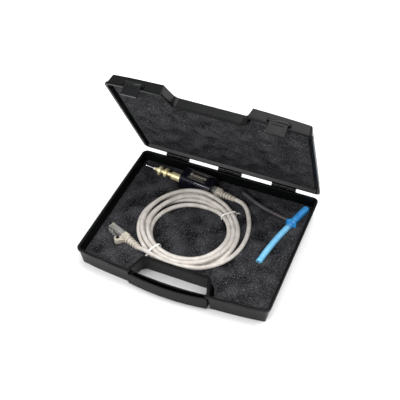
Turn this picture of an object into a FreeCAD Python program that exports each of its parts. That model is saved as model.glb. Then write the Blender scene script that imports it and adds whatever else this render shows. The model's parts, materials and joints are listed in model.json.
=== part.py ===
"""Probe kit in its fitted carrying case: case, foams, latches, probe, patch lead and hose set.

Millimetres, +Z up.  The origin is the middle of the case's flat underside, +X runs along the
hinge and +Y points to the hinge.  The lid stands open at its rest angle over the base.
"""
import FreeCAD, Part
import math
import os
import Sketcher

V = FreeCAD.Vector

# ---------------------------------------------------------------- driving dimensions
DIMENSIONS = {
    # case
    "case_width": 240.0,
    "case_depth": 188.0,
    "front_bow": 7.8,
    "base_height": 26.0,
    "lid_height": 14.0,
    "parting_gap": 0.3,
    "wall": 2.2,
    "floor_thickness": 2.5,
    "rim_height": 3.0,
    "rim_overhang": 1.5,
    "base_draft": 5.0,
    "lid_draft": 4.6,
    "corner_radius": 7.0,
    "notch_front": 48.0,
    "notch_back": 40.0,
    "notch_reach": 76.0,
    "lid_open": 62.0,
    # handle bar across the notch
    "bar_low": 4.0,
    "bar_high": 20.0,
    "bar_bulge": 3.5,
    "bar_thickness": 8.6,
    "bar_wall": 2.0,
    "bar_channel_depth": 11.0,
    # hinge
    "hinge_offset": 3.5,
    "knuckle_radius": 3.0,
    "hinge_section": 32.0,
    "hinge_pitch": 72.7,
    "middle_knuckle": 11.0,
    "knuckle_clearance": 0.4,
    "hinge_pin_radius": 1.2,
    "running_clearance": 0.05,
    # latches
    "latch_centre": 83.0,
    "latch_width": 20.0,
    "latch_thickness": 2.0,
    "latch_stand_off": 0.5,
    "latch_reach": 10.0,
    "latch_pivot_rise": 4.8,
    "latch_barrel": 1.7,
    "latch_pin_radius": 0.8,
    "hook_reach": 1.3,
    "hook_height": 1.0,
    "keeper_width": 16.0,
    "keeper_depth": 0.8,
    # foams
    "foam_gap": 0.3,
    "base_foam_top": 7.8,
    "lid_foam_clear": 2.2,
    # probe
    "probe_x": -55.4,
    "probe_y": 70.84,
    "probe_z": 15.3,
    "probe_turn": -6.29,
    "housing_length": 44.0,
    "housing_front": -9.0,
    "housing_back": 15.0,
    "housing_top": 11.5,
    "housing_bottom": -9.2,
    "housing_split": 6.2,
    "housing_wall": 1.6,
    "housing_round": 4.4,
    "stem_radius": 2.8,
    "needle_radius": 1.15,
    "flange_radius": 6.2,
    "flange_thickness": 3.2,
    "collar_radius": 5.15,
    # plugs
    "plug_length": 21.5,
    "plug_width": 11.68,
    "plug_thickness": 8.0,
    "boot_end": 48.9,
    "jack_depth": 16.0,
    "free_plug_x": -101.8,
    "free_plug_y": -38.7,
    "free_plug_z": 14.6,
    "free_plug_turn": -21.1,
    # lead
    "cable_diameter": 5.5,
    "coil_x": -15.0,
    "coil_y": -6.5,
    "coil_outer": 62.0,
    "coil_inner": 41.0,
    "coil_low": 11.5,
    "coil_high": 23.0,
    "tie_band": 2.4,
    "tie_thickness": 0.8,
    # hose set
    "adapter_x": 98.2,
    "adapter_y": 48.3,
    "adapter_z": 15.2,
    "adapter_turn": 73.0,
    "adapter_flange": 7.2,
    "adapter_barrel": 3.6,
    "adapter_rib": 4.6,
    "blue_hose_diameter": 7.6,
    "blue_hose_bore": 4.6,
    "black_hose_diameter": 5.4,
    "sleeve_diameter": 6.2,
}

doc = FreeCAD.newDocument("probe_kit")
sheet = doc.addObject("Spreadsheet::Sheet", "dims")
for row, (alias, value) in enumerate(DIMENSIONS.items(), start=1):
    sheet.set(f"A{row}", alias)
    sheet.set(f"B{row}", str(value))
    sheet.setAlias(f"B{row}", alias)
doc.recompute()


def text_of(value):
    """The sheet expression of a size, or a plain number in brackets."""
    return value.text if isinstance(value, Size) else f"({float(value)!r})"


class Size(float):
    """A number that remembers the sheet expression it is worked out from."""

    def __new__(cls, value, text):
        size = float.__new__(cls, value)
        size.text = text
        return size

    def __add__(self, other):
        return Size(float(self) + float(other), f"({self.text} + {text_of(other)})")

    def __radd__(self, other):
        return Size(float(other) + float(self), f"({text_of(other)} + {self.text})")

    def __sub__(self, other):
        return Size(float(self) - float(other), f"({self.text} - {text_of(other)})")

    def __rsub__(self, other):
        return Size(float(other) - float(self), f"({text_of(other)} - {self.text})")

    def __mul__(self, other):
        return Size(float(self) * float(other), f"({self.text} * {text_of(other)})")

    def __rmul__(self, other):
        return Size(float(other) * float(self), f"({text_of(other)} * {self.text})")

    def __truediv__(self, other):
        return Size(float(self) / float(other), f"({self.text} / {text_of(other)})")

    def __neg__(self):
        return Size(-float(self), f"(-1 * {self.text})")


def dim(alias):
    """One driving dimension of the sheet."""
    return Size(sheet.get(alias), f"dims.{alias}")


# ---------------------------------------------------------------- helpers
NODES = {}          # label of each sub-part: its object


def bind(thing, name, value):
    """Give a property its size, as an expression where the size comes from the sheet."""
    if "." not in name:
        setattr(thing, name, float(value))
    if isinstance(value, Size):
        thing.setExpression(name, value.text)


def node(label, thing):
    """Register a finished sub-part under the name of its file."""
    thing.Label = label
    NODES[label] = thing
    return thing


def place(thing, frame):
    """Move a sub-part from its own frame into the case's."""
    for axis in "xyz":
        thing.setExpression(f"Placement.Base.{axis}", None)
    thing.Placement = frame.multiply(thing.Placement)
    return thing


def box(name, low, high):
    """A block between two corners."""
    thing = doc.addObject("Part::Box", name)
    for prop, a, b in zip(("Length", "Width", "Height"), low, high):
        bind(thing, prop, b - a)
    thing.Placement.Base = V(*[float(value) for value in low])
    for axis, value in zip("xyz", low):
        bind(thing, f"Placement.Base.{axis}", value)
    return thing


def cylinder(name, start, axis, radius, length):
    """A cylinder from a start point along an axis."""
    thing = doc.addObject("Part::Cylinder", name)
    bind(thing, "Radius", radius)
    bind(thing, "Height", length)
    thing.Placement = FreeCAD.Placement(V(*[float(value) for value in start]),
                                        FreeCAD.Rotation(V(0, 0, 1), V(*axis)))
    for letter, value in zip("xyz", start):
        bind(thing, f"Placement.Base.{letter}", value)
    return thing


def cut(name, base, tool):
    """One solid less another."""
    thing = doc.addObject("Part::Cut", name)
    thing.Base = base
    thing.Tool = tool
    return thing


def fuse(name, things):
    """Several solids joined into one."""
    thing = doc.addObject("Part::MultiFuse", name)
    thing.Shapes = things
    return thing


def group(name, things):
    """Several separate solids that share one node."""
    thing = doc.addObject("Part::Compound", name)
    thing.Links = things
    return thing


def rounded(name, base, radius, wanted):
    """A solid with the wanted edges rounded."""
    doc.recompute()
    thing = doc.addObject("Part::Fillet", name)
    thing.Base = base
    thing.Edges = [(index, float(radius), float(radius))
                   for index, edge in enumerate(base.Shape.Edges, start=1) if wanted(edge)]
    return thing


def runs_along(edge, axis):
    """True for a straight edge that is parallel to an axis."""
    if not isinstance(edge.Curve, Part.Line):
        return False
    return abs(abs(edge.Curve.Direction.dot(axis)) - 1) < 1e-6


def origin_plane(body, role):
    """One of a body's own origin planes."""
    return next(item for item in body.Origin.OriginFeatures if item.Role == role)


def new_sketch(body, name, role, offset=0.0):
    """An empty sketch on one of the body's own planes, moved along its normal."""
    sketch = body.newObject("Sketcher::SketchObject", name)
    sketch.AttachmentSupport = [(origin_plane(body, role), "")]
    sketch.MapMode = "FlatFace"
    sketch.AttachmentOffset = FreeCAD.Placement(V(0, 0, float(offset)), FreeCAD.Rotation())
    if isinstance(offset, Size):
        sketch.setExpression("AttachmentOffset.Base.z", offset.text)
    return sketch


def draw_polygon(sketch, corners):
    """A closed polygon with every corner tied to its size."""
    count = len(corners)
    points = [V(float(x), float(y), 0) for x, y in corners]
    for index in range(count):
        sketch.addGeometry(Part.LineSegment(points[index], points[(index + 1) % count]), False)
    for index in range(count):
        sketch.addConstraint(Sketcher.Constraint("Coincident", index, 2, (index + 1) % count, 1))
    for index, corner in enumerate(corners):
        for kind, value in zip(("DistanceX", "DistanceY"), corner):
            number = sketch.addConstraint(
                Sketcher.Constraint(kind, -1, 1, index, 1, float(value)))
            if isinstance(value, Size):
                sketch.setExpression(f"Constraints[{number}]", value.text)


def draw_circle(sketch, x, y, radius):
    """A circle tied to its centre and radius."""
    index = sketch.addGeometry(
        Part.Circle(V(float(x), float(y), 0), V(0, 0, 1), float(radius)), False)
    for kind, value in (("DistanceX", x), ("DistanceY", y)):
        number = sketch.addConstraint(Sketcher.Constraint(kind, -1, 1, index, 3, float(value)))
        if isinstance(value, Size):
            sketch.setExpression(f"Constraints[{number}]", value.text)
    number = sketch.addConstraint(Sketcher.Constraint("Radius", index, float(radius)))
    if isinstance(radius, Size):
        sketch.setExpression(f"Constraints[{number}]", radius.text)


def draw_wire(sketch, wire):
    """A closed wire of lines and arcs, its side-to-side width tied to the sheet by the caller."""
    for edge in wire.OrderedEdges:
        first, last = edge.ParameterRange
        start, middle, end = (edge.valueAt(t) for t in (first, (first + last) / 2, last))
        if isinstance(edge.Curve, Part.Line):
            sketch.addGeometry(Part.LineSegment(start, end), False)
        else:
            sketch.addGeometry(Part.Arc(start, middle, end), False)
    sketch.detectMissingPointOnPointConstraints(1e-5)
    sketch.makeMissingPointOnPointCoincident()


def tie_width(sketch, width):
    """Tie the distance between an outline's two straight sides to the sheet."""
    sides = [(line.StartPoint.x, index) for index, line in enumerate(sketch.Geometry)
             if isinstance(line, Part.LineSegment)
             and abs(line.StartPoint.x - line.EndPoint.x) < 1e-6
             and abs(line.StartPoint.y - line.EndPoint.y) > 20]
    left, right = min(sides)[1], max(sides)[1]
    number = sketch.addConstraint(
        Sketcher.Constraint("DistanceX", left, 1, right, 1, float(width)))
    sketch.setExpression(f"Constraints[{number}]", width.text)


def pad(body, sketch, length):
    """Add material along the sketch's normal."""
    feature = body.newObject("PartDesign::Pad", f"{sketch.Name}_pad")
    feature.Profile = sketch
    bind(feature, "Length", length)
    body.Tip = feature
    doc.recompute()
    return feature


def pocket(body, sketch, length, backwards=False):
    """Take material away against the sketch's normal, and check that some went."""
    before = body.Shape.Volume
    feature = body.newObject("PartDesign::Pocket", f"{sketch.Name}_pocket")
    feature.Profile = sketch
    bind(feature, "Length", length)
    feature.Reversed = backwards
    body.Tip = feature
    doc.recompute()
    if feature.Shape.Volume > before - 1e-6:
        raise RuntimeError(f"{sketch.Name} cuts nothing")
    return feature


def loft(body, kind, first, second):
    """Add or take away the drafted solid between two outlines."""
    before = 0.0 if body.Tip is None else body.Shape.Volume
    feature = body.newObject(f"PartDesign::{kind}", f"{first.Name}_loft")
    feature.Profile = first
    feature.Sections = [second]
    feature.Ruled = True
    body.Tip = feature
    doc.recompute()
    if abs(feature.Shape.Volume - before) < 1.0:
        raise RuntimeError(f"{first.Name} changes nothing")
    return feature


def turned(label, profile):
    """A round piece about its own X axis, from (station, radius) corners."""
    body = doc.addObject("PartDesign::Body", label)
    sketch = new_sketch(body, f"{label}_profile", "XY_Plane")
    draw_polygon(sketch, profile)
    feature = body.newObject("PartDesign::Revolution", f"{label}_turned")
    feature.Profile = sketch
    feature.ReferenceAxis = (sketch, ["H_Axis"])
    feature.Angle = 360.0
    body.Tip = feature
    doc.recompute()
    return body


def prism(label, role, corners, low, high):
    """A flat-sided piece: a polygon on an origin plane, padded from low to high."""
    body = doc.addObject("PartDesign::Body", label)
    sketch = new_sketch(body, f"{label}_outline", role, low)
    draw_polygon(sketch, corners)
    pad(body, sketch, high - low)
    return body


def rounded_wire(corners):
    """A closed wire through (x, y, radius) corners, each rounded by a tangent arc."""
    count = len(corners)
    points = [V(float(x), float(y), 0) for x, y, radius in corners]
    ends = []
    edges = []
    for index, (x, y, radius) in enumerate(corners):
        here = points[index]
        back = (points[index - 1] - here).normalize()
        ahead = (points[(index + 1) % count] - here).normalize()
        half_turn = (math.pi - back.getAngle(ahead)) / 2
        reach = float(radius) * math.tan(half_turn)
        start, end = here + back * reach, here + ahead * reach
        middle_way = (back + ahead).normalize()
        middle = here + middle_way * (float(radius) / math.cos(half_turn) - float(radius))
        edges.append(Part.Arc(start, middle, end).toShape())
        ends.append((start, end))
    for index in range(count):
        edges.append(Part.LineSegment(ends[index][1], ends[(index + 1) % count][0]).toShape())
    return Part.Wire(Part.__sortEdges__(edges))


def route_wire(points):
    """Straight runs joined by tangent arcs, with the radius of each arc."""
    arcs = []
    radii = []
    for before, here, after in zip(points, points[1:], points[2:]):
        back, ahead = before - here, after - here
        shorter = min(back.Length, ahead.Length)
        half_turn = (math.pi - back.getAngle(ahead)) / 2
        reach = 0.45 * shorter
        radius = reach / math.tan(half_turn)
        back.normalize()
        ahead.normalize()
        start, end = here + back * reach, here + ahead * reach
        middle_way = (back + ahead).normalize()
        middle = here + middle_way * (radius / math.cos(half_turn) - radius)
        arcs.append((start, middle, end))
        radii.append(radius)
    edges = []
    last = points[0]
    for start, middle, end in arcs:
        edges.append(Part.LineSegment(last, start).toShape())
        edges.append(Part.Arc(start, middle, end).toShape())
        last = end
    edges.append(Part.LineSegment(last, points[-1]).toShape())
    return Part.Wire(edges), radii


def tube(label, points, diameter, bore=None):
    """A bent round tube along a route, hollow where it has a bore."""
    wire, radii = route_wire(points)
    print(label, "length", round(wire.Length, 1), "radii", [round(r, 1) for r in radii],
          "smallest in diameters", round(min(radii) / float(diameter), 1))
    along = (points[1] - points[0]).normalize()

    def solid(size):
        ring = Part.Wire(Part.makeCircle(float(size) / 2, points[0], along))
        return wire.makePipeShell([ring], True, False)

    shape = solid(diameter)
    area = math.pi * float(diameter) ** 2 / 4
    if bore is not None:
        shape = shape.cut(solid(bore))
        area -= math.pi * float(bore) ** 2 / 4
    if abs(shape.Volume / (area * wire.Length) - 1) > 0.01:
        raise RuntimeError(f"{label} has the wrong volume")
    thing = doc.addObject("Part::Feature", label)
    thing.Shape = shape
    return node(label, thing)


# ---------------------------------------------------------------- shared places
half_width = dim("case_width") / 2
half_depth = dim("case_depth") / 2
base_height = dim("base_height")
hinge_y = half_depth + dim("hinge_offset")
hinge_z = base_height + dim("parting_gap") / 2
lid_low = base_height + dim("parting_gap")
lid_top = lid_low + dim("lid_height")
front_y = -half_depth - dim("front_bow")
LID_FRAME = FreeCAD.Placement(V(), FreeCAD.Rotation(V(1, 0, 0), -float(dim("lid_open"))),
                              V(0, float(hinge_y), float(hinge_z)))
SOFT_BEND = 400.0       # large radius that blends the two straight parts of the bowed front
BEND_X = 93.0           # where the front's two straight parts meet
NOTCH_ROUND = 3.0
NO_INSET = dim("case_width") * 0
UNDERSIDE = dim("case_width") * 0
CORNER_THINNING = 0.4   # how much thinner the wall gets at its mouth


def front_line(x):
    """Y of the rim's front edge at a distance x from the middle."""
    bend_x, bend_y = BEND_X, float(half_depth) + 0.55 * float(dim("front_bow"))
    notch_x = float(dim("notch_front"))
    corner_x = float(half_width)
    if abs(x) < bend_x:
        share = (bend_x - abs(x)) / (bend_x - notch_x)
        return -(bend_y + share * (-float(front_y) - bend_y))
    share = (corner_x - abs(x)) / (corner_x - bend_x)
    return -(float(half_depth) + share * (bend_y - float(half_depth)))


def inset_corners(corners, inset):
    """The corners of an outline moved inwards, each with its rounding made to match."""
    count = len(corners)
    points = [V(x, y, 0) for x, y, radius in corners]
    moved = []
    for index, (x, y, radius) in enumerate(corners):
        here = points[index]
        before = (here - points[index - 1]).normalize()
        after = (points[(index + 1) % count] - here).normalize()
        normals = V(-before.y, before.x, 0) + V(-after.y, after.x, 0)
        shift = normals * (inset / (1 + before.dot(after)))
        turns_in = before.x * after.y - before.y * after.x > 0
        moved.append((x + shift.x, y + shift.y,
                      max(radius - inset, 0.6) if turns_in else radius + inset))
    return moved


def case_outline(inset):
    """The rim's outline, with the handle notch in its bowed front, moved inwards by an inset."""
    side = float(half_width)
    back = float(half_depth)
    right = [(float(dim("notch_back")), -float(dim("notch_reach")), NOTCH_ROUND),
             (float(dim("notch_front")), float(front_y), NOTCH_ROUND),
             (BEND_X, front_line(BEND_X), SOFT_BEND),
             (side, -back, float(dim("corner_radius"))),
             (side, back, float(dim("corner_radius")))]
    left = [(-x, y, radius) for x, y, radius in reversed(right)]
    return rounded_wire(inset_corners(right + left, float(inset)))


def case_sketch(body, name, height, inset):
    """The case's outline at one height."""
    sketch = new_sketch(body, name, "XY_Plane", height)
    draw_wire(sketch, case_outline(inset))
    tie_width(sketch, dim("case_width") - 2 * inset)
    return sketch


def hinge_section(body, name, low_z, high_z, pieces, hole_radius):
    """One hinge section's knuckles and webs between two heights, repeated three times."""
    features = []
    for number, (start, end) in enumerate(pieces):
        web = new_sketch(body, f"{name}_web_{number}", "YZ_Plane", start)
        draw_polygon(web, [(half_depth - dim("wall"), low_z), (hinge_y, low_z),
                           (hinge_y, high_z), (half_depth - dim("wall"), high_z)])
        features.append(pad(body, web, end - start))
        barrel = new_sketch(body, f"{name}_barrel_{number}", "YZ_Plane", start)
        draw_circle(barrel, hinge_y, hinge_z, dim("knuckle_radius"))
        features.append(pad(body, barrel, end - start))
        hole = new_sketch(body, f"{name}_hole_{number}", "YZ_Plane", start)
        draw_circle(hole, hinge_y, hinge_z, hole_radius)
        features.append(pocket(body, hole, end - start, backwards=True))
    pattern = body.newObject("PartDesign::LinearPattern", f"{name}_sections")
    pattern.Originals = features
    pattern.Direction = (origin_plane(body, "YZ_Plane"), [""])
    pattern.Length = 2 * float(dim("hinge_pitch"))
    pattern.setExpression("Length", (2 * dim("hinge_pitch")).text)
    pattern.Occurrences = 3
    body.Tip = pattern
    doc.recompute()


# ---------------------------------------------------------------- case
def make_base_shell():
    """The tray with its rim, hinge knuckles, handle bar and latch keepers."""
    body = doc.addObject("PartDesign::Body", "base_shell")
    tray_height = base_height - dim("rim_height")
    overhang = dim("rim_overhang")
    loft(body, "AdditiveLoft", case_sketch(body, "base_foot", UNDERSIDE, dim("base_draft")),
         case_sketch(body, "base_neck", tray_height, overhang))
    pad(body, case_sketch(body, "base_rim", tray_height, NO_INSET), dim("rim_height"))
    loft(body, "SubtractiveLoft",
         case_sketch(body, "base_mouth", base_height, overhang + dim("wall") - CORNER_THINNING),
         case_sketch(body, "base_floor", dim("floor_thickness"), dim("base_draft") + dim("wall")))
    # handle bar: a bowed channel that spans the notch
    bar = new_sketch(body, "bar", "XY_Plane", dim("bar_low"))
    draw_wire(bar, bar_outline(0.0, 0.0))
    pad(body, bar, dim("bar_high") - dim("bar_low"))
    channel = new_sketch(body, "bar_channel", "XY_Plane", dim("bar_high"))
    draw_wire(channel, bar_outline(float(dim("bar_wall")), 5.0))
    pocket(body, channel, dim("bar_channel_depth"))
    # keepers: shallow seats for the latch flaps in the rim's front face
    for side in (-1, 1):
        keeper = new_sketch(body, "keeper_left" if side < 0 else "keeper_right", "XY_Plane",
                            base_height)
        draw_polygon(keeper, keeper_corners(side))
        pocket(body, keeper, dim("rim_height"))
    middle = dim("middle_knuckle") / 2 + dim("knuckle_clearance")
    end = dim("hinge_section") / 2
    start = -dim("hinge_pitch")
    hinge_section(body, "base_hinge", base_height - dim("rim_height"), base_height,
                  [(start - end, start - middle), (start + middle, start + end)],
                  dim("hinge_pin_radius"))
    return node("base_shell", body)


def bar_outline(wall, shorter):
    """Plan of the handle bar: an outer and an inner arc, closed by short ends."""
    half = float(dim("notch_front")) + 1.0 - shorter
    outer_end = float(front_y) + wall + 0.6
    outer_middle = float(front_y) - float(dim("bar_bulge")) + wall
    inner_end = float(front_y) + float(dim("bar_thickness")) - wall - 0.6
    inner_middle = outer_middle + float(dim("bar_thickness")) - 2 * wall
    outer = Part.Arc(V(-half, outer_end, 0), V(0, outer_middle, 0), V(half, outer_end, 0))
    inner = Part.Arc(V(half, inner_end, 0), V(0, inner_middle, 0), V(-half, inner_end, 0))
    edges = [outer.toShape(),
             Part.LineSegment(V(half, outer_end, 0), V(half, inner_end, 0)).toShape(),
             inner.toShape(),
             Part.LineSegment(V(-half, inner_end, 0), V(-half, outer_end, 0)).toShape()]
    return Part.Wire(Part.__sortEdges__(edges))


def latch_frame(side):
    """Frame on the rim's front face at a latch: X along the face, -Y straight out of it."""
    x = side * float(dim("latch_centre"))
    step = 1.0
    slope = math.degrees(math.atan2(front_line(x + step) - front_line(x - step), 2 * step))
    return FreeCAD.Placement(V(x, front_line(x), 0), FreeCAD.Rotation(V(0, 0, 1), slope))


def keeper_corners(side):
    """The keeper seat's plan, square to the rim's front face."""
    half = float(dim("keeper_width")) / 2
    depth = float(dim("keeper_depth"))
    frame = latch_frame(side)
    corners = [(-half, depth), (half, depth), (half, -6.0), (-half, -6.0)]
    placed = [frame.multVec(V(x, y, 0)) for x, y in corners]
    return [(point.x, point.y) for point in placed]


def make_lid_shell():
    """The lid tray with its rim, hinge knuckles and the ears that carry the latches."""
    body = doc.addObject("PartDesign::Body", "lid_shell")
    overhang = dim("rim_overhang")
    neck = lid_low + dim("rim_height")
    pad(body, case_sketch(body, "lid_rim", lid_low, NO_INSET), dim("rim_height"))
    loft(body, "AdditiveLoft", case_sketch(body, "lid_neck", neck, overhang),
         case_sketch(body, "lid_panel", lid_top, dim("lid_draft")))
    loft(body, "SubtractiveLoft",
         case_sketch(body, "lid_mouth", lid_low, overhang + dim("wall") - CORNER_THINNING),
         case_sketch(body, "lid_ceiling", lid_top - dim("floor_thickness"),
                     dim("lid_draft") + dim("wall")))
    start = -dim("hinge_pitch")
    half = dim("middle_knuckle") / 2
    hinge_section(body, "lid_hinge", lid_low, lid_low + dim("rim_height"),
                  [(start - half, start + half)],
                  dim("hinge_pin_radius") + dim("running_clearance"))
    parts = [body]
    for side in (-1, 1):
        name = "left" if side < 0 else "right"
        for end in (-1, 1):
            inner_x = dim("latch_width") / 2 + 0.3
            ear = latch_ear(f"ear_{name}_{'outer' if end > 0 else 'inner'}", end, inner_x)
            parts.append(place(ear, latch_frame(side)))
    body = fuse("lid_with_ears", parts)
    return place(node("lid_shell", body), LID_FRAME)


def latch_pivot():
    """Place of the latch pivot in the latch frame: distance out of the face, and height."""
    out = dim("latch_stand_off") + dim("latch_barrel") * 0.7
    return -out, lid_low + dim("latch_pivot_rise")


def latch_ear(name, end, inner_x):
    """One ear beside a latch flap, with the pin's hole through it."""
    out, height = latch_pivot()
    low_x = inner_x if end > 0 else -inner_x - 2.6
    block = box(f"{name}_block", (low_x, out - dim("latch_barrel"), height - dim("latch_barrel")),
                (low_x + 2.6, dim("wall") + 1.4, height + dim("latch_barrel")))
    hole = cylinder(f"{name}_hole", (low_x - 1.0, out, height), (1, 0, 0),
                    dim("latch_pin_radius"), 4.6)
    return cut(name, block, hole)


def make_latch(side):
    """One latch flap with its barrel, finger window and hook, and the pin it turns on."""
    name = "left" if side < 0 else "right"
    out, height = latch_pivot()
    half = dim("latch_width") / 2
    face = -dim("latch_stand_off")
    low = base_height - dim("latch_reach")
    plate = box(f"latch_{name}_plate", (-half, face - dim("latch_thickness"), low),
                (half, face, height))
    # a raised frame round the finger window
    window = box(f"latch_{name}_window",
                 (-half + 3.2, face - dim("latch_thickness") - 0.2, low + 3.6),
                 (half - 3.2, face - dim("latch_thickness") + 0.9, height - 4.0))
    lip = box(f"latch_{name}_lip", (-half, face - dim("latch_thickness") - 1.0, low),
              (half, face - dim("latch_thickness") + 0.5, low + 1.6))
    catch_top = base_height - dim("rim_height") - 0.3
    hook = box(f"latch_{name}_hook", (-half + 4.0, face - 0.5, catch_top - dim("hook_height")),
               (half - 4.0, face + dim("hook_reach"), catch_top))
    barrel = cylinder(f"latch_{name}_barrel", (-half, out, height), (1, 0, 0),
                      dim("latch_barrel"), dim("latch_width"))
    solid = fuse(f"latch_{name}_solid", [cut(f"latch_{name}_framed", plate, window), lip, hook,
                                         barrel])
    hole = cylinder(f"latch_{name}_hole", (-half - 1.0, out, height), (1, 0, 0),
                    dim("latch_pin_radius") + dim("running_clearance"),
                    dim("latch_width") + 2.0)
    flap = cut(f"latch_{name}_cut", solid, hole)
    frame = LID_FRAME.multiply(latch_frame(side))
    place(node(f"latch_{name}", flap), frame)
    pin_half = half + 2.5
    pin = cylinder(f"latch_pin_{name}_rod", (-pin_half, out, height), (1, 0, 0),
                   dim("latch_pin_radius"), 2 * pin_half)
    place(node(f"latch_pin_{name}", pin), frame)
    centre = frame.multVec(V(0, float(out), float(height)))
    along = frame.Rotation.multVec(V(1, 0, 0))
    print("latch", name, "pivot", [round(v, 4) for v in centre], "axis",
          [round(v, 5) for v in along])


def make_hinge_pins():
    """Three steel hinge pins, one in each hinge section."""
    half = dim("hinge_section") / 2
    for index, name in enumerate(("left", "middle", "right")):
        middle = (index - 1) * dim("hinge_pitch")
        pin = cylinder(f"hinge_pin_{name}", (middle - half, hinge_y, hinge_z), (1, 0, 0),
                       dim("hinge_pin_radius"), dim("hinge_section"))
        node(f"hinge_pin_{name}", pin)


def foam_outline(body, name, height, inset):
    """The foam's outline: the case's inner wall with a small gap."""
    sketch = new_sketch(body, name, "XY_Plane", height)
    draw_wire(sketch, case_outline(inset))
    return sketch


def make_foams():
    """The base foam with a bed for the probe's housing, and the lid foam."""
    body = doc.addObject("PartDesign::Body", "base_foam")
    bottom = dim("floor_thickness")
    inset = dim("base_draft") + dim("wall") + dim("foam_gap")
    pad(body, foam_outline(body, "base_foam_outline", bottom, inset),
        dim("base_foam_top") - bottom)
    bed = box("probe_bed",
              (-2.0, dim("housing_front") - 1.0, dim("housing_bottom") - 0.2),
              (dim("housing_length") + 8.0, dim("housing_back") + 1.0, 10.0))
    place(bed, probe_frame())
    node("base_foam", cut("base_foam_cut", body, bed))
    body = doc.addObject("PartDesign::Body", "lid_foam")
    inset = dim("lid_draft") + dim("wall") + dim("foam_gap")
    low = lid_low + dim("lid_foam_clear")
    pad(body, foam_outline(body, "lid_foam_outline", low, inset),
        lid_top - dim("floor_thickness") - low)
    place(node("lid_foam", body), LID_FRAME)


# ---------------------------------------------------------------- probe
CONTACTS = 8
CONTACT_PITCH = 1.02
CONTACT_ROW = -CONTACT_PITCH * (CONTACTS - 1) / 2


def probe_frame():
    """The probe's own frame: X along the probe towards its lead, from the housing's face."""
    return FreeCAD.Placement(
        V(float(dim("probe_x")), float(dim("probe_y")), float(dim("probe_z"))),
        FreeCAD.Rotation(V(0, 0, 1), float(dim("probe_turn"))))


def along_x(edge):
    """True for an edge that runs along the probe."""
    return runs_along(edge, V(1, 0, 0))


def make_stem():
    """Needle, insulator, barbed brass stem, collar nut and sealing ring."""
    needle = dim("needle_radius")
    stem = dim("stem_radius")
    flange = dim("flange_radius")
    thick = dim("flange_thickness")
    gap = dim("running_clearance")
    tip = turned("tip_needle", [(-54.0, 0.0), (-54.0, needle), (-30.0, needle), (-30.0, 0.0)])
    ball = doc.addObject("Part::Sphere", "tip_ball")
    bind(ball, "Radius", needle + 0.6)
    ball.Placement.Base = V(-54.0, 0, 0)
    place(node("tip_needle", fuse("tip_with_ball", [tip, ball])), probe_frame())
    sleeve = turned("tip_insulator", [(-43.0, needle), (-43.0, needle + 0.55),
                                      (-36.2, needle + 0.55), (-36.2, needle)])
    place(node("tip_insulator", sleeve), probe_frame())
    nose, cone_end, cone = -40.2, -36.0, 3.4      # the barbed cone before the first flange
    first, second = -34.2, -25.3
    profile = [(nose, needle + 0.6 + gap), (nose, needle + 0.95), (cone_end, cone),
               (first, cone), (first, flange), (first + thick, flange), (first + thick, stem),
               (second, stem), (second, flange), (second + thick, flange),
               (second + thick, stem), (5.6, stem), (5.6, 0.0), (-29.8, 0.0),
               (-29.8, needle + gap), (cone_end, needle + gap),
               (cone_end, needle + 0.6 + gap)]
    place(node("brass_stem", turned("brass_stem", profile)), probe_frame())
    collar = dim("collar_radius")
    profile = [(-15.3, stem + gap), (-15.3, collar - 0.5), (-14.8, collar), (-1.7, collar),
               (-1.2, collar - 0.5), (-1.2, stem + gap)]
    place(node("collar_nut", turned("collar_nut", profile)), probe_frame())
    profile = [(-1.2, stem + gap), (-1.2, collar - 1.0), (0.0, collar - 1.0), (0.0, stem + gap)]
    place(node("sealing_ring", turned("sealing_ring", profile)), probe_frame())
    wall = dim("housing_wall")
    nut = stem + 0.8
    profile = [(wall, stem + gap), (wall, nut), (wall + 2.2, nut), (wall + 2.2, stem + gap)]
    place(node("stem_locknut", turned("stem_locknut", profile)), probe_frame())


def housing_block(name, low, high, inset):
    """A block of the housing's plan between two heights, moved in by an inset."""
    return box(name, (inset, dim("housing_front") + inset, low),
               (dim("housing_length") - inset, dim("housing_back") - inset, high))


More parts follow.
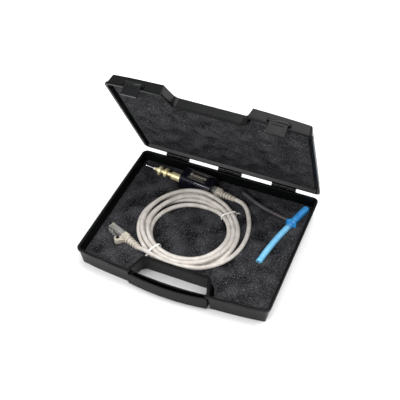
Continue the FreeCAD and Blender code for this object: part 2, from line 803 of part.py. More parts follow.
def make_housing():
    """The probe's moulded housing: a tray, a cover, four screws and a rating plate."""
    top, bottom, split = dim("housing_top"), dim("housing_bottom"), dim("housing_split")
    wall = dim("housing_wall")
    length = dim("housing_length")
    front, back = dim("housing_front"), dim("housing_back")
    post = 2.0
    inset = wall + post - 0.5
    near, far = front + inset, back - inset
    corners = [(inset, near), (inset, far), (20.5, near), (length - inset, far)]

    block = housing_block("tray_block", bottom, split, NO_INSET)
    soft = rounded("tray_round", block, dim("housing_round"),
                   lambda e: along_x(e) and e.CenterOfMass.z < 0)
    hollow = housing_block("tray_hollow", bottom + wall, split + 1.0, wall)
    tray = cut("tray_open", soft, hollow)
    posts = [cylinder(f"tray_post_{i}", (x, y, bottom + wall - 0.5), (0, 0, 1), post,
                      split - bottom - wall + 0.5) for i, (x, y) in enumerate(corners)]
    tray = fuse("tray_posts", [tray] + posts)
    holes = [cylinder(f"tray_screw_hole_{i}", (x, y, bottom - 1.0), (0, 0, 1), 0.9,
                      split - bottom + 2.0) for i, (x, y) in enumerate(corners)]
    sinks = [cylinder(f"tray_sink_{i}", (x, y, bottom - 1.0), (0, 0, 1), 1.65,
                      2.0) for i, (x, y) in enumerate(corners)]
    stem_hole = cylinder("stem_hole", (-1.0, 0.0, 0.0), (1, 0, 0),
                         dim("stem_radius") + dim("running_clearance"), 4.0)
    jack_hole = box("jack_hole", (length - wall - 1.0, front + 0.9, -6.3),
                    (length + 1.0, 4.6, 6.3))
    tray = cut("tray_cut", tray, fuse("tray_tools", holes + sinks + [stem_hole, jack_hole]))
    place(node("housing_tray", tray), probe_frame())

    block = housing_block("cover_block", split, top, NO_INSET)
    soft = rounded("cover_round", block, dim("housing_round"),
                   lambda e: along_x(e) and e.CenterOfMass.z > float(split) + 1)
    hollow = housing_block("cover_hollow", split - 1.0, top - wall, wall)
    cover = cut("cover_open", soft, hollow)
    posts = [cylinder(f"cover_post_{i}", (x, y, split), (0, 0, 1), post,
                      top - split - wall + 0.5) for i, (x, y) in enumerate(corners)]
    cover = fuse("cover_posts", [cover] + posts)
    holes = [cylinder(f"cover_hole_{i}", (x, y, split - 1.0), (0, 0, 1), 0.9,
                      4.2) for i, (x, y) in enumerate(corners)]
    seat = box("plate_seat", (8.0, -5.0, top - 0.3), (length - 8.0, 11.0, top + 1.0))
    jack_top = box("jack_top_hole", (length - wall - 1.0, front + 0.9, split - 1.0),
                   (length + 1.0, 4.6, 6.3))
    cover = cut("cover_cut", cover, fuse("cover_tools", holes + [seat, jack_top]))
    place(node("housing_cover", cover), probe_frame())

    plate = box("plate_block", (8.1, -4.9, top - 0.3), (length - 8.1, 10.9, top))
    place(node("rating_plate", plate), probe_frame())

    screws = []
    for index, (x, y) in enumerate(corners):
        head = cylinder(f"screw_head_{index}", (x, y, bottom + 0.1), (0, 0, 1), 1.6, 0.9)
        shank = cylinder(f"screw_shank_{index}", (x, y, bottom + 1.0), (0, 0, 1), 0.9,
                         split - bottom + 2.0)
        slot = box(f"screw_slot_{index}", (x - 1.2, y - 0.2, bottom), (x + 1.2, y + 0.2,
                                                                     bottom + 0.5))
        body = fuse(f"screw_body_{index}", [head, shank])
        screws.append(cut(f"screw_{index}", body, slot))
    place(node("housing_screws", group("screw_group", screws)), probe_frame())


def make_electronics():
    """Board, sensing disc, chip, trimmer, small parts, signal wire and the lead's jack."""
    frame = probe_frame()
    front, thick = 6.4, 1.2
    board = box("board_block", (6.5, front, -7.3), (37.5, front + thick, 7.3))
    place(node("circuit_board", board), frame)
    chip = box("chip_block", (15.0, front - 1.6, -3.0), (21.0, front, 2.0))
    legs = [box(f"chip_leg_{i}_{side}", (15.4 + 1.27 * i, front - 0.9, low),
                (15.8 + 1.27 * i, front, low + 0.9))
            for i in range(4) for side, low in (("a", -3.9), ("b", 2.0))]
    place(node("amplifier_chip", fuse("chip_with_legs", [chip] + legs)), frame)
    can = cylinder("trimmer_body", (11.0, front, 2.6), (0, -1, 0), 2.4, 2.2)
    slot = box("trimmer_slot", (9.4, front - 2.6, 2.3), (12.6, front - 1.7, 2.9))
    place(node("trimmer", cut("trimmer_cut", can, slot)), frame)
    small = [box(f"small_part_{i}", (10.0 + 3.2 * i, front - 0.7, -6.4),
                 (12.0 + 3.2 * i, front, -5.2)) for i in range(4)]
    place(node("board_components", group("small_parts", small)), frame)
    disc = cylinder("sensing_disc_block", (5.7, 0.0, 0.0), (1, 0, 0), 4.6, 1.0)
    place(node("sensing_disc", disc), frame)
    wire = route_wire([V(6.7, 0, 0), V(8.6, 0, 0), V(9.6, 2.4, -1.6), V(9.8, 5.0, -2.0),
                       V(9.8, 6.4, -2.0)])[0]
    ring = Part.Wire(Part.makeCircle(0.45, V(6.7, 0, 0), V(1, 0, 0)))
    lead = doc.addObject("Part::Feature", "signal_wire_tube")
    lead.Shape = wire.makePipeShell([ring], True, False)
    place(node("signal_wire", lead), frame)

    length, wall = dim("housing_length"), dim("housing_wall")
    shell = box("jack_block", (length - wall - 18.0, -7.2, -7.4), (length - wall, 6.3, 7.4))
    start = length - dim("jack_depth") - 0.4
    half_mouth = dim("plug_width") / 2 + 0.15
    mouth = box("jack_mouth", (start, -dim("plug_thickness") / 2 - 0.15, -half_mouth),
                (length, dim("plug_thickness") / 2 + 0.15, half_mouth))
    guide = box("jack_guide", (start, -6.6, -3.3), (length, -3.0, 3.3))
    pins = [cylinder(f"jack_pin_hole_{i}", (start - 2.0 + 0.02, 2.9, CONTACT_ROW + CONTACT_PITCH * i),
                     (1, 0, 0), 0.3, 2.4) for i in range(CONTACTS)]
    jack = cut("jack_cut", shell, fuse("jack_tools", [mouth, guide] + pins))
    place(node("jack_shell", jack), frame)
    contacts = [cylinder(f"jack_contact_{i}", (start - 1.9, 2.9, CONTACT_ROW + CONTACT_PITCH * i),
                         (1, 0, 0), 0.3, 2.2) for i in range(CONTACTS)]
    place(node("jack_contacts", group("jack_contact_group", contacts)), frame)


# ---------------------------------------------------------------- plugs and lead
def plug_frame(x, y, z, turn):
    """A plug's own frame: X from its nose to its cable, -Y to the latch side, Z its width."""
    return FreeCAD.Placement(V(float(x), float(y), float(z)),
                             FreeCAD.Rotation(V(0, 0, 1), float(turn)))


def inserted_frame():
    """Frame of the plug that sits in the probe's jack."""
    start = float(dim("housing_length")) - float(dim("jack_depth"))
    return probe_frame().multiply(FreeCAD.Placement(V(start, 0, 0), FreeCAD.Rotation()))


def plug_tab(name, root, droop):
    """The springy locking tab, a tongue that leans out by its droop over its length."""
    side = dim("plug_thickness") / 2
    corners = [(1.6, root), (1.6, -side - 1.1), (2.8, -side - 1.3),
               (9.0, -side - 1.3 - 0.4 * droop), (17.2, -side - 1.3 - droop),
               (17.4, -side - 2.2 - droop), (8.4, -side - 2.2 - 0.4 * droop),
               (1.2, -side - 2.0), (0.4, -side - 1.2), (0.4, root)]
    return prism(name, "XY_Plane", corners, -3.0, 3.0)


def make_plug(name, frame, tab_apart):
    """A clear modular plug with its contacts, wires and ribbed boot."""
    half_wide = dim("plug_width") / 2
    half_thick = dim("plug_thickness") / 2
    length = dim("plug_length")
    block = box(f"{name}_block", (0.0, -half_thick, -half_wide), (length, half_thick, half_wide))
    soft = rounded(f"{name}_soft", block, 0.4, lambda e: runs_along(e, V(1, 0, 0)))
    throat = box(f"{name}_throat", (7.0, -1.9, -half_wide + 1.3), (length + 1.0, 2.6,
                                                              half_wide - 1.3))
    slots = [box(f"{name}_slot_{i}", (-1.0, half_thick - 2.6, CONTACT_ROW + CONTACT_PITCH * i - 0.27),
                 (5.0, half_thick + 1.0, CONTACT_ROW + CONTACT_PITCH * i + 0.27)) for i in range(CONTACTS)]
    shell = cut(f"{name}_hollow", soft, fuse(f"{name}_tools", [throat] + slots))
    if tab_apart:
        tab = plug_tab(f"{name}_tab_body", -half_thick - 0.1, 1.4)
        place(node(f"{name}_tab", tab), frame)
    else:
        tab = plug_tab(f"{name}_tab_body", -half_thick + 0.6, 0.2)
        shell = fuse(f"{name}_with_tab", [shell, tab])
    place(node(f"{name}_shell", shell), frame)
    blades = [box(f"{name}_blade_{i}", (0.3, half_thick - 2.5, CONTACT_ROW + CONTACT_PITCH * i - 0.2),
                  (4.6, half_thick - 0.5, CONTACT_ROW + CONTACT_PITCH * i + 0.2)) for i in range(CONTACTS)]
    place(node(f"{name}_contacts", group(f"{name}_blades", blades)), frame)
    wires = [cylinder(f"{name}_wire_{i}", (7.2, 0.3, CONTACT_ROW + CONTACT_PITCH * i), (1, 0, 0), 0.48,
                      length - 7.4) for i in range(CONTACTS)]
    place(node(f"{name}_wires", group(f"{name}_wire_group", wires)), frame)
    place(node(f"{name}_boot", make_boot(name)), frame)


def make_boot(name):
    """The moulded boot: a block behind the plug, a looped latch guard and tapered ribs."""
    half_wide = dim("plug_width") / 2
    half_thick = dim("plug_thickness") / 2
    length = dim("plug_length")
    end = dim("boot_end")
    block = box(f"{name}_boot_block", (length + 0.1, -half_thick - 0.4, -half_wide - 0.2),
                (length + 7.6, half_thick + 0.6, half_wide + 0.2))
    block = rounded(f"{name}_boot_soft", block, 1.6, lambda e: runs_along(e, V(1, 0, 0)))
    guard = cylinder(f"{name}_guard", (20.8, -8.6, -3.7), (0, 0, 1), 4.5, 7.4)
    bridge = prism(f"{name}_bridge", "XY_Plane",
                   [(length + 0.4, -11.5), (length + 0.4, -half_thick),
                    (length + 7.4, -half_thick), (length + 7.4, -half_thick - 1.0),
                    (length + 3.0, -11.0)], -3.7, 3.7)
    eye = cylinder(f"{name}_eye", (19.8, -8.0, -4.7), (0, 0, 1), 2.5, 9.4)
    clear = box(f"{name}_guard_clear", (10.0, -8.0, -4.7), (20.4, -half_thick + 1.0, 4.7))
    behind = box(f"{name}_guard_behind", (10.0, -half_thick - 0.3, -6.0),
                 (length + 0.1, half_thick, 6.0))
    guard = cut(f"{name}_guard_open", fuse(f"{name}_guard_solid", [guard, bridge]),
                fuse(f"{name}_guard_tools", [eye, clear, behind]))
    start = length + 7.0
    pitch = (end - start - 1.0) / 5
    ribs = []
    for index in range(5):
        low = start + 0.6 + pitch * index
        share = index / 4.0
        radius = 5.4 - 1.5 * share
        ribs.append(cylinder(f"{name}_rib_{index}", (low, 0.0, 0.0), (1, 0, 0), radius,
                             pitch * 0.62))
    core = doc.addObject("Part::Cone", f"{name}_boot_core")
    core.Radius1 = 3.9
    core.Radius2 = 2.95
    bind(core, "Height", end - start)
    core.Placement = FreeCAD.Placement(V(float(start), 0, 0),
                                       FreeCAD.Rotation(V(0, 0, 1), V(1, 0, 0)))
    return fuse(f"{name}_boot_solid", [block, guard, core] + ribs)


def make_lead():
    """The patch lead: both plugs, two stretches of cable, the coil and its two ties."""
    make_plug("probe_plug", inserted_frame(), False)
    free = plug_frame(dim("free_plug_x"), dim("free_plug_y"), dim("free_plug_z"),
                      dim("free_plug_turn"))
    make_plug("free_plug", free, True)
    hinge = free.multVec(V(1.0, -float(dim("plug_thickness")) / 2 - 1.8, 0))
    print("tab hinge", [round(v, 4) for v in hinge])
    cable = dim("cable_diameter")
    start = inserted_frame().multVec(V(float(dim("boot_end")), 0, 0))
    print("probe boot end", [round(v, 2) for v in start])
    route = [start, V(28.9, 61.3, 15.2), V(36.2, 56.9, 15.0), V(42.4, 49.0, 14.8),
             V(48.0, 38.4, 14.6), V(52.5, 26.7, 14.5), V(55.4, 14.1, 14.4),
             V(56.3, 0.6, 14.4), V(54.7, -12.8, 14.4), V(50.5, -25.6, 14.5),
             V(43.6, -37.2, 14.6), V(34.2, -46.9, 14.8), V(22.9, -54.3, 15.0),
             V(10.4, -59.3, 15.2)]
    tube("cable_to_probe", route, cable)
    boot = free.multVec(V(float(dim("boot_end")), 0, 0))
    print("free boot end", [round(v, 2) for v in boot])
    tube("cable_to_plug", [boot, V(-45.4, -59.6, 14.9), V(-35.6, -60.0, 15.4)], cable)
    ring = doc.addObject("PartDesign::Body", "coil")
    sketch = new_sketch(ring, "coil_plan", "XY_Plane", dim("coil_low"))
    draw_circle(sketch, dim("coil_x"), dim("coil_y"), dim("coil_outer"))
    draw_circle(sketch, dim("coil_x"), dim("coil_y"), dim("coil_inner"))
    feature = pad(ring, sketch, dim("coil_high") - dim("coil_low"))
    fillet = ring.newObject("PartDesign::Fillet", "coil_rounding")
    fillet.Base = (feature, [f"Edge{i}" for i, e in enumerate(feature.Shape.Edges, start=1)
                             if isinstance(e.Curve, Part.Circle)])
    fillet.Radius = 2.75
    fillet.setExpression("Radius", (dim("cable_diameter") / 2).text)
    ring.Tip = fillet
    doc.recompute()
    node("coil", ring)
    make_tie("tie_lower", -115.0)
    make_tie("tie_upper", 44.0)


def make_tie(label, angle):
    """A flat band round the bundle, with its twisted knot outside."""
    gap = 0.25
    middle = (dim("coil_outer") + dim("coil_inner")) / 2
    low, high = dim("coil_low"), dim("coil_high")
    half = (dim("coil_outer") - dim("coil_inner")) / 2
    band, thick = dim("tie_band"), dim("tie_thickness")
    inner = box(f"{label}_inner", (middle - half - gap, -band, low - gap),
                (middle + half + gap, band, high + gap))
    outer = box(f"{label}_outer", (middle - half - gap - thick, -band / 2, low - gap - thick),
                (middle + half + gap + thick, band / 2, high + gap + thick))
    ring = cut(f"{label}_ring", outer, inner)
    knot = cylinder(f"{label}_knot", (middle + half + gap + thick * 0.5, 0.0, (low + high) / 2),
                    (1, 0, 0), 1.3, 5.0)
    whole = fuse(f"{label}_whole", [ring, knot])
    frame = FreeCAD.Placement(V(float(dim("coil_x")), float(dim("coil_y")), 0),
                              FreeCAD.Rotation(V(0, 0, 1), angle))
    place(node(label, whole), frame)


# ---------------------------------------------------------------- hose set
def adapter_frame():
    """The hose adapter's frame: X from its flange's hose face to its open end."""
    return FreeCAD.Placement(
        V(float(dim("adapter_x")), float(dim("adapter_y")), float(dim("adapter_z"))),
        FreeCAD.Rotation(V(0, 0, 1), float(dim("adapter_turn"))))


def make_hose_set():
    """Ribbed adapter with a side nipple, its blue hose, and the black hose with its sleeve."""
    flange, barrel, rib = dim("adapter_flange"), dim("adapter_barrel"), dim("adapter_rib")
    hub = -4.0
    profile = [(hub, 1.6), (hub, 4.3), (0.0, 4.3), (0.0, flange), (2.6, flange),
               (2.6, barrel + 0.8), (7.0, barrel)]
    count, start, pitch = 8, 7.0, 3.6
    for index in range(count):
        station = start + index * pitch
        profile += [(station, rib), (station + 1.2, rib), (station + 2.2, barrel),
                    (station + pitch, barrel)]
    tip = start + count * pitch
    profile += [(tip + 0.6, barrel - 0.7), (tip + 0.6, 1.6)]
    body = turned("adapter_turned", profile)
    body = place(body, adapter_frame())
    side = adapter_frame().multVec(V(4.8, 2.4, -0.2))
    way = V(-20.1, 5.0, -0.4).normalize()
    reach = 6.0
    nipple = cylinder("adapter_nipple", (side.x, side.y, side.z), tuple(way), 1.5, reach)
    node("hose_adapter", fuse("adapter_whole", [body, nipple]))
    face = adapter_frame().multVec(V(hub, 0, 0))
    print("hose exit", [round(v, 2) for v in face])
    hose = [face, V(93.1, 31.8, 14.9), V(89.6, 18.9, 14.4), V(86.6, 5.9, 13.8),
            V(84.0, -7.5, 13.2), V(81.8, -20.9, 12.6)]
    tube("blue_hose", hose, dim("blue_hose_diameter"), dim("blue_hose_bore"))
    end = side + way * reach
    print("nipple end", [round(v, 2) for v in end])
    sleeve_length = 21.0
    join = end + way * sleeve_length
    sleeve = cylinder("sleeve_tube", (end.x, end.y, end.z), tuple(way),
                      dim("sleeve_diameter") / 2, sleeve_length)
    node("hose_sleeve", sleeve)
    print("sleeve end", [round(v, 2) for v in join])
    hose = [join, join + way * 9.0, V(52.2, 65.2, 14.6), V(42.6, 69.4, 14.8),
            V(33.4, 74.4, 15.0), V(24.5, 78.6, 15.0)]
    tube("black_hose", hose, dim("black_hose_diameter"))


# ---------------------------------------------------------------- build, check and write
make_base_shell()
make_lid_shell()
make_latch(-1)
make_latch(1)
make_hinge_pins()
make_foams()
make_stem()
make_housing()
make_electronics()
make_lead()
make_hose_set()
doc.recompute()

for thing in doc.Objects:
    if "Invalid" in thing.State or "Error" in thing.State:
        raise RuntimeError(f"{thing.Name} failed: {thing.State}")
os.makedirs("parts", exist_ok=True)
for label, thing in NODES.items():
    shape = thing.Shape
    if shape.isNull() or not shape.isValid() or not shape.Solids:
        raise RuntimeError(f"{label} has no valid solid")
    shape.exportStep(f"parts/{label}.step")
print(len(NODES), "nodes written")
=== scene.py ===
"""The looks of a probe kit in its fitted carrying case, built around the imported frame."""

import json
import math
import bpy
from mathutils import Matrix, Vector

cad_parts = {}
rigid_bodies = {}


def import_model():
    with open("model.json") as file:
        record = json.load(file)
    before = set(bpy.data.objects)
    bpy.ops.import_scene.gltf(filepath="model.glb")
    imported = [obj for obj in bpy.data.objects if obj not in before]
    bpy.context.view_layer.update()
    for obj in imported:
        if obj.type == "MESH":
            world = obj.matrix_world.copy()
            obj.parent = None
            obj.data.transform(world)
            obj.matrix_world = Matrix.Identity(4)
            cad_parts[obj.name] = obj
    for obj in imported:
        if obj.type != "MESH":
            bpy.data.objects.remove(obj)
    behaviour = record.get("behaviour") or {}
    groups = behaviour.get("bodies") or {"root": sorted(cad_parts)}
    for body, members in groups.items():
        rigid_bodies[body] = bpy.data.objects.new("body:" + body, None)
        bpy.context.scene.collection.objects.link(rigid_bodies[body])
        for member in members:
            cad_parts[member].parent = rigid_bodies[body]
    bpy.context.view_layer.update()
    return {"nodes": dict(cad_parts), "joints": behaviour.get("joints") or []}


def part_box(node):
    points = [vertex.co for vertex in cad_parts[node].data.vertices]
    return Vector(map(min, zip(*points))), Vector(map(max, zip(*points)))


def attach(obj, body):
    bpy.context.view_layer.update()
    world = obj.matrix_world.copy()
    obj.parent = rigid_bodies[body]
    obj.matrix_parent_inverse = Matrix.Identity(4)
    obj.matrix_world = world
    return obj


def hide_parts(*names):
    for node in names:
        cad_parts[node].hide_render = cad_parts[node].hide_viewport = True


bl_info = {
    "name": "Probe Kit Looks",
    "version": (1, 0, 0),
    "blender": (4, 5, 0),
    "location": "View3D > Sidebar > Probe Kit",
    "description": "Finishes, foams, lead, ties, hoses and stage for a probe kit in its case",
    "category": "Object",
}

import bmesh
import bpy
from mathutils import Matrix, Vector
from mathutils import noise as lumps
from mathutils.bvhtree import BVHTree

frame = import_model()
MM = 0.001
UP = Vector((0, 0, 1))
WELD_GAP = 0.002 * MM
EDGE_ANGLE = math.radians(38)


# ---------------------------------------------------------------- shared helpers
def srgb(code, alpha=1.0):
    """Linear colour of an sRGB hex code."""
    parts = [int(code[i:i + 2], 16) / 255 for i in (0, 2, 4)]
    return (*[p / 12.92 if p <= 0.04045 else ((p + 0.055) / 1.055) ** 2.4 for p in parts], alpha)


def add_node(tree, kind, settings=None, links=None):
    """Adds a node. Settings name its sockets or properties, and links its input sockets."""
    node = tree.nodes.new(kind)
    for name, value in (settings or {}).items():
        if isinstance(name, int) or name in node.inputs:
            node.inputs[name].default_value = value
        else:
            setattr(node, name, value)
    for socket, source in (links or {}).items():
        tree.links.new(source, node.inputs[socket])
    return node


def blank_material(name, **shader):
    """A material with one Principled shader, and that shader's settings."""
    material = bpy.data.materials.new(name)
    material.use_nodes = True
    tree = material.node_tree
    tree.nodes.clear()
    settings = {key.replace("_", " ").title().replace("Ior", "IOR"): value
                for key, value in shader.items()}
    bsdf = add_node(tree, "ShaderNodeBsdfPrincipled", settings)
    add_node(tree, "ShaderNodeOutputMaterial", links={"Surface": bsdf.outputs[0]})
    return material, tree, bsdf


def noise(tree, size_mm, detail=3.0, stretch=(1, 1, 1)):
    """Noise whose lumps are about size_mm across, in the object's own metres."""
    place = add_node(tree, "ShaderNodeTexCoord")
    mapping = add_node(tree, "ShaderNodeMapping", {"Scale": stretch},
                       {"Vector": place.outputs["Object"]})
    return add_node(tree, "ShaderNodeTexNoise", {"Scale": 1 / (size_mm * MM), "Detail": detail},
                    {"Vector": mapping.outputs[0]})


def two_colours(tree, factor, first, second, low=0.35, high=0.65):
    """Blends two sRGB codes by a factor between two limits."""
    return add_node(tree, "ShaderNodeMix", {"data_type": "RGBA", 6: srgb(first), 7: srgb(second)},
                    {0: steps(tree, factor, low, high)}).outputs[2]


def steps(tree, factor, low, high, start=0.0, end=1.0):
    """Stretches a factor so that low becomes start and high becomes end."""
    return add_node(tree, "ShaderNodeMapRange",
                    {"From Min": low, "From Max": high, "To Min": start, "To Max": end},
                    {"Value": factor}).outputs[0]


def raise_surface(tree, bsdf, height, depth_mm, strength=1.0):
    """Bump from a height between 0 and 1 that stands depth_mm high."""
    bump = add_node(tree, "ShaderNodeBump", {"Strength": strength, "Distance": depth_mm * MM},
                    {"Height": height})
    tree.links.new(bump.outputs[0], bsdf.inputs["Normal"])
    return bump


def moulded(name, light, dark, grain_mm, depth_mm, rough, patch_mm=25.0, **shader):
    """A moulded surface: shade drifting over patch_mm, and a fine grain from the mould."""
    material, tree, bsdf = blank_material(name, **shader)
    patches = noise(tree, patch_mm)
    grain = noise(tree, grain_mm, 4.0)
    tree.links.new(two_colours(tree, patches.outputs[0], dark, light), bsdf.inputs["Base Color"])
    tree.links.new(steps(tree, grain.outputs[0], 0.3, 0.7, rough - 0.06, rough + 0.06),
                   bsdf.inputs["Roughness"])
    raise_surface(tree, bsdf, grain.outputs[0], depth_mm)
    return material


def new_mesh(name, points, faces, material, smooth=True):
    """A mesh object in the row frame, from points in metres."""
    mesh = bpy.data.meshes.new(name)
    mesh.from_pydata([tuple(p) for p in points], [], faces)
    mesh.validate()
    work = bmesh.new()
    work.from_mesh(mesh)
    bmesh.ops.recalc_face_normals(work, faces=work.faces)
    work.to_mesh(mesh)
    work.free()
    for polygon in mesh.polygons:
        polygon.use_smooth = smooth
    piece = bpy.data.objects.new(name, mesh)
    bpy.context.scene.collection.objects.link(piece)
    mesh.materials.append(material)
    return piece


def finish_nodes(material, *names):
    """Gives CAD nodes a material in their own slots."""
    for name in names:
        thing = frame["nodes"][name]
        if not thing.material_slots:
            thing.data.materials.append(material)
        for each in thing.material_slots:
            each.material = material


def soften_edges(width_mm, *names, flat_faces=False):
    """Rounds the sharp edges of CAD nodes a little, as a mould leaves them."""
    for name in names:
        thing = frame["nodes"][name]
        weld = thing.modifiers.new("weld", "WELD")
        weld.merge_threshold = WELD_GAP
        bevel = thing.modifiers.new("edge_radius", "BEVEL")
        bevel.width = width_mm * MM
        bevel.segments = 2
        bevel.limit_method = "ANGLE"
        bevel.angle_limit = EDGE_ANGLE
        bevel.use_clamp_overlap = False
        bevel.harden_normals = not flat_faces
        if flat_faces:
            thing.modifiers.new("flat_faces", "WEIGHTED_NORMAL").weight = 100


def nurbs_cord(name, route, diameter, material, wall=None):
    """A smooth cord along control points in metres, hollow where it has a wall."""
    curve = bpy.data.curves.new(name, "CURVE")
    curve.dimensions = "3D"
    curve.resolution_u = 5
    curve.bevel_depth = diameter / 2
    curve.bevel_resolution = 6
    curve.use_fill_caps = wall is None
    spline = curve.splines.new("NURBS")
    spline.points.add(len(route) - 1)
    for point, place in zip(spline.points, route):
        point.co = (*place, 1.0)
    spline.order_u = 3
    spline.use_endpoint_u = True
    curve.materials.append(material)
    piece = bpy.data.objects.new(name, curve)
    bpy.context.scene.collection.objects.link(piece)
    if wall is not None:
        shell = piece.modifiers.new("wall", "SOLIDIFY")
        shell.thickness = wall
        shell.offset = -1
    return piece


def centre_line(piece):
    """Points along a cord's smooth line, in metres."""
    bare = piece.data.copy()
    bare.bevel_depth = 0.0
    probe = bpy.data.objects.new("centre_line_probe", bare)
    mesh = bpy.data.meshes.new_from_object(probe)
    points = [v.co.copy() for v in mesh.vertices]
    bpy.data.meshes.remove(mesh)
    bpy.data.objects.remove(probe)
    bpy.data.curves.remove(bare)
    return points


def length_of(points):
    """Length of a line through points."""
    return sum((b - a).length for a, b in zip(points, points[1:]))


def smooth_step(value, low, high):
    """0 below low, 1 above high, and a smooth ramp between them."""
    share = min(1.0, max(0.0, (value - low) / (high - low)))
    return share * share * (3 - 2 * share)


def metres(*places):
    """Places given in millimetres, as vectors in metres."""
    return [Vector(place) * MM for place in places]


def surface_of(names, pieces=()):
    """A search tree of the surfaces of CAD nodes and of new pieces, in the row frame."""
    points, faces = [], []
    graph = bpy.context.evaluated_depsgraph_get()
    for thing in [frame["nodes"][n] for n in names] + list(pieces):
        mesh = bpy.data.meshes.new_from_object(thing.evaluated_get(graph))
        start = len(points)
        points += [v.co.copy() for v in mesh.vertices]
        faces += [[start + i for i in p.vertices] for p in mesh.polygons]
        bpy.data.meshes.remove(mesh)
    return BVHTree.FromPolygons(points, faces)


# ---------------------------------------------------------------- places from the frame
LID_HINGE = next(j for j in frame["joints"] if j["name"] == "lid_hinge")
LID_OPEN = math.radians(abs(LID_HINGE["range_deg"][0]))
LID_PLACE = Matrix.Translation(Vector(LID_HINGE["pos_m"])) @ Matrix.Rotation(-LID_OPEN, 4, "X")

PROBE_TURN = math.radians(-6.29)
PROBE_PLACE = Matrix.Translation(Vector((-55.4, 70.84, 15.3)) * MM) @ Matrix.Rotation(
    PROBE_TURN, 4, "Z")

CONTENTS = ["tip_needle", "tip_insulator", "brass_stem", "collar_nut", "housing_tray",
            "housing_cover", "probe_plug_shell", "probe_plug_boot", "free_plug_shell",
            "free_plug_tab", "free_plug_boot", "hose_adapter"]


# ---------------------------------------------------------------- finishes: case
def moulded_polypropylene():
    """Moulded polypropylene: near black, satin, with a fine spark-eroded grain."""
    return moulded("moulded_polypropylene", "08090a", "040505", 0.7, 0.03, 0.34,
                   ior=1.49, specular_ior_level=0.16)


def latch_acetal():
    """Moulded acetal of the latches: a little glossier than the case, with a grey bloom."""
    return moulded("moulded_acetal", "101113", "0a0b0c", 0.6, 0.02, 0.3, ior=1.48,
                   specular_ior_level=0.25)


def drawn_steel():
    """Drawn zinc-plated steel: grey metal with fine streaks along the wire."""
    material, tree, bsdf = blank_material("drawn_steel", metallic=1.0)
    streaks = noise(tree, 0.3, 2.0, (0.05, 1, 1))
    tree.links.new(two_colours(tree, streaks.outputs[0], "9a9b9e", "c3c4c7"),
                   bsdf.inputs["Base Color"])
    tree.links.new(steps(tree, streaks.outputs[0], 0.3, 0.7, 0.28, 0.42),
                   bsdf.inputs["Roughness"])
    return material


# ---------------------------------------------------------------- finishes: foam
def reticulated_foam():
    """Charcoal polyurethane foam: matt, with open cells that catch the light as specks, and painted
    shade that darkens the egg-box valleys.

    The real cells are about 0.6 mm wide; they are drawn 1.4 mm wide so that they show."""
    material, tree, bsdf = blank_material("polyurethane_foam", roughness=1.0, ior=1.45,
                                          specular_ior_level=0.12)
    place = add_node(tree, "ShaderNodeTexCoord")
    cells = add_node(tree, "ShaderNodeTexVoronoi", {"Scale": 1 / (1.4 * MM)},
                     {"Vector": place.outputs["Object"]})
    specks = noise(tree, 1.1, 2.0)
    patches = noise(tree, 15.0, 3.0)
    # Painted shade: the relief attribute from foam_pad darkens the foam's valleys and lightens its
    # peaks, mixed with random mottled patches.
    relief = add_node(tree, "ShaderNodeAttribute", {"attribute_name": "relief"})
    mottle_and_valley_shade = add_node(tree, "ShaderNodeMath", {"operation": "MULTIPLY_ADD", 1: 0.95},
                    {0: patches.outputs[0], 2: relief.outputs["Fac"]})
    ground = two_colours(tree, mottle_and_valley_shade.outputs[0], "070708", "343437", 0.5, 1.0)
    bright = add_node(tree, "ShaderNodeMix", {"data_type": "RGBA", 7: srgb("737478")},
                      {0: steps(tree, specks.outputs[0], 0.55, 0.72, 0.0, 0.8), 6: ground})
    tree.links.new(bright.outputs[2], bsdf.inputs["Base Color"])
    height = add_node(tree, "ShaderNodeMath", {"operation": "ADD"},
                      {0: cells.outputs["Distance"], 1: specks.outputs[0]})
    raise_surface(tree, bsdf, height.outputs[0], 0.55)
    return material


# ---------------------------------------------------------------- finishes: probe
def moulded_gloss_abs():
    """Moulded ABS of the probe's housing: black with a polished skin."""
    return moulded("moulded_gloss_abs", "141218", "0b0a0e", 2.5, 0.006, 0.3, ior=1.54,
                   coat_weight=0.8, coat_roughness=0.2, coat_tint=srgb("cfc8ee"))


def printed_film():
    """Printed polyester film on the housing: charcoal, satin."""
    return moulded("printed_polyester_film", "1b1b1e", "131316", 0.8, 0.004, 0.36, ior=1.57)


def plate_ink():
    """Screen-printed warm grey ink, slightly raised and broken."""
    return moulded("screen_printed_ink", "b3aca0", "8b857b", 0.4, 0.01, 0.55, patch_mm=1.2,
                   ior=1.5)


def turned_brass():
    """Turned brass: pale gold, with tool rings round the axis and a little tarnish."""
    material, tree, bsdf = blank_material("turned_brass", metallic=0.55)
    rings = noise(tree, 0.35, 2.0, (1.0, 0.12, 0.12))
    tarnish = noise(tree, 6.0)
    tree.links.new(two_colours(tree, tarnish.outputs[0], "f3e0a4", "fff6d4"),
                   bsdf.inputs["Base Color"])
    tree.links.new(steps(tree, rings.outputs[0], 0.3, 0.7, 0.30, 0.44),
                   bsdf.inputs["Roughness"])
    raise_surface(tree, bsdf, rings.outputs[0], 0.02)
    return material


def ground_steel():
    """Ground and polished stainless steel of the needle."""
    material, tree, bsdf = blank_material("ground_stainless_steel", metallic=1.0)
    rings = noise(tree, 0.25, 2.0)
    tree.links.new(two_colours(tree, rings.outputs[0], "d4d6da", "f0f1f3"),
                   bsdf.inputs["Base Color"])
    tree.links.new(steps(tree, rings.outputs[0], 0.3, 0.7, 0.14, 0.24),
                   bsdf.inputs["Roughness"])
    return material


def white_ptfe():
    """Turned PTFE of the tip's insulating sleeve: waxy white."""
    return moulded("turned_ptfe", "f1f0ec", "dedcd6", 0.5, 0.01, 0.35, ior=1.35,
                   subsurface_weight=0.1, subsurface_radius=(0.002, 0.002, 0.002))


def nitrile_rubber():
    """Moulded nitrile rubber: black and matt."""
    return moulded("moulded_nitrile", "1c1c1c", "101010", 0.3, 0.02, 0.62, ior=1.52)


def solder_mask():
    """Glass-epoxy board under green solder mask, with faint tracks."""
    return moulded("solder_masked_board", "1f6b3c", "14502b", 1.2, 0.03, 0.32, patch_mm=2.0,
                   ior=1.55)


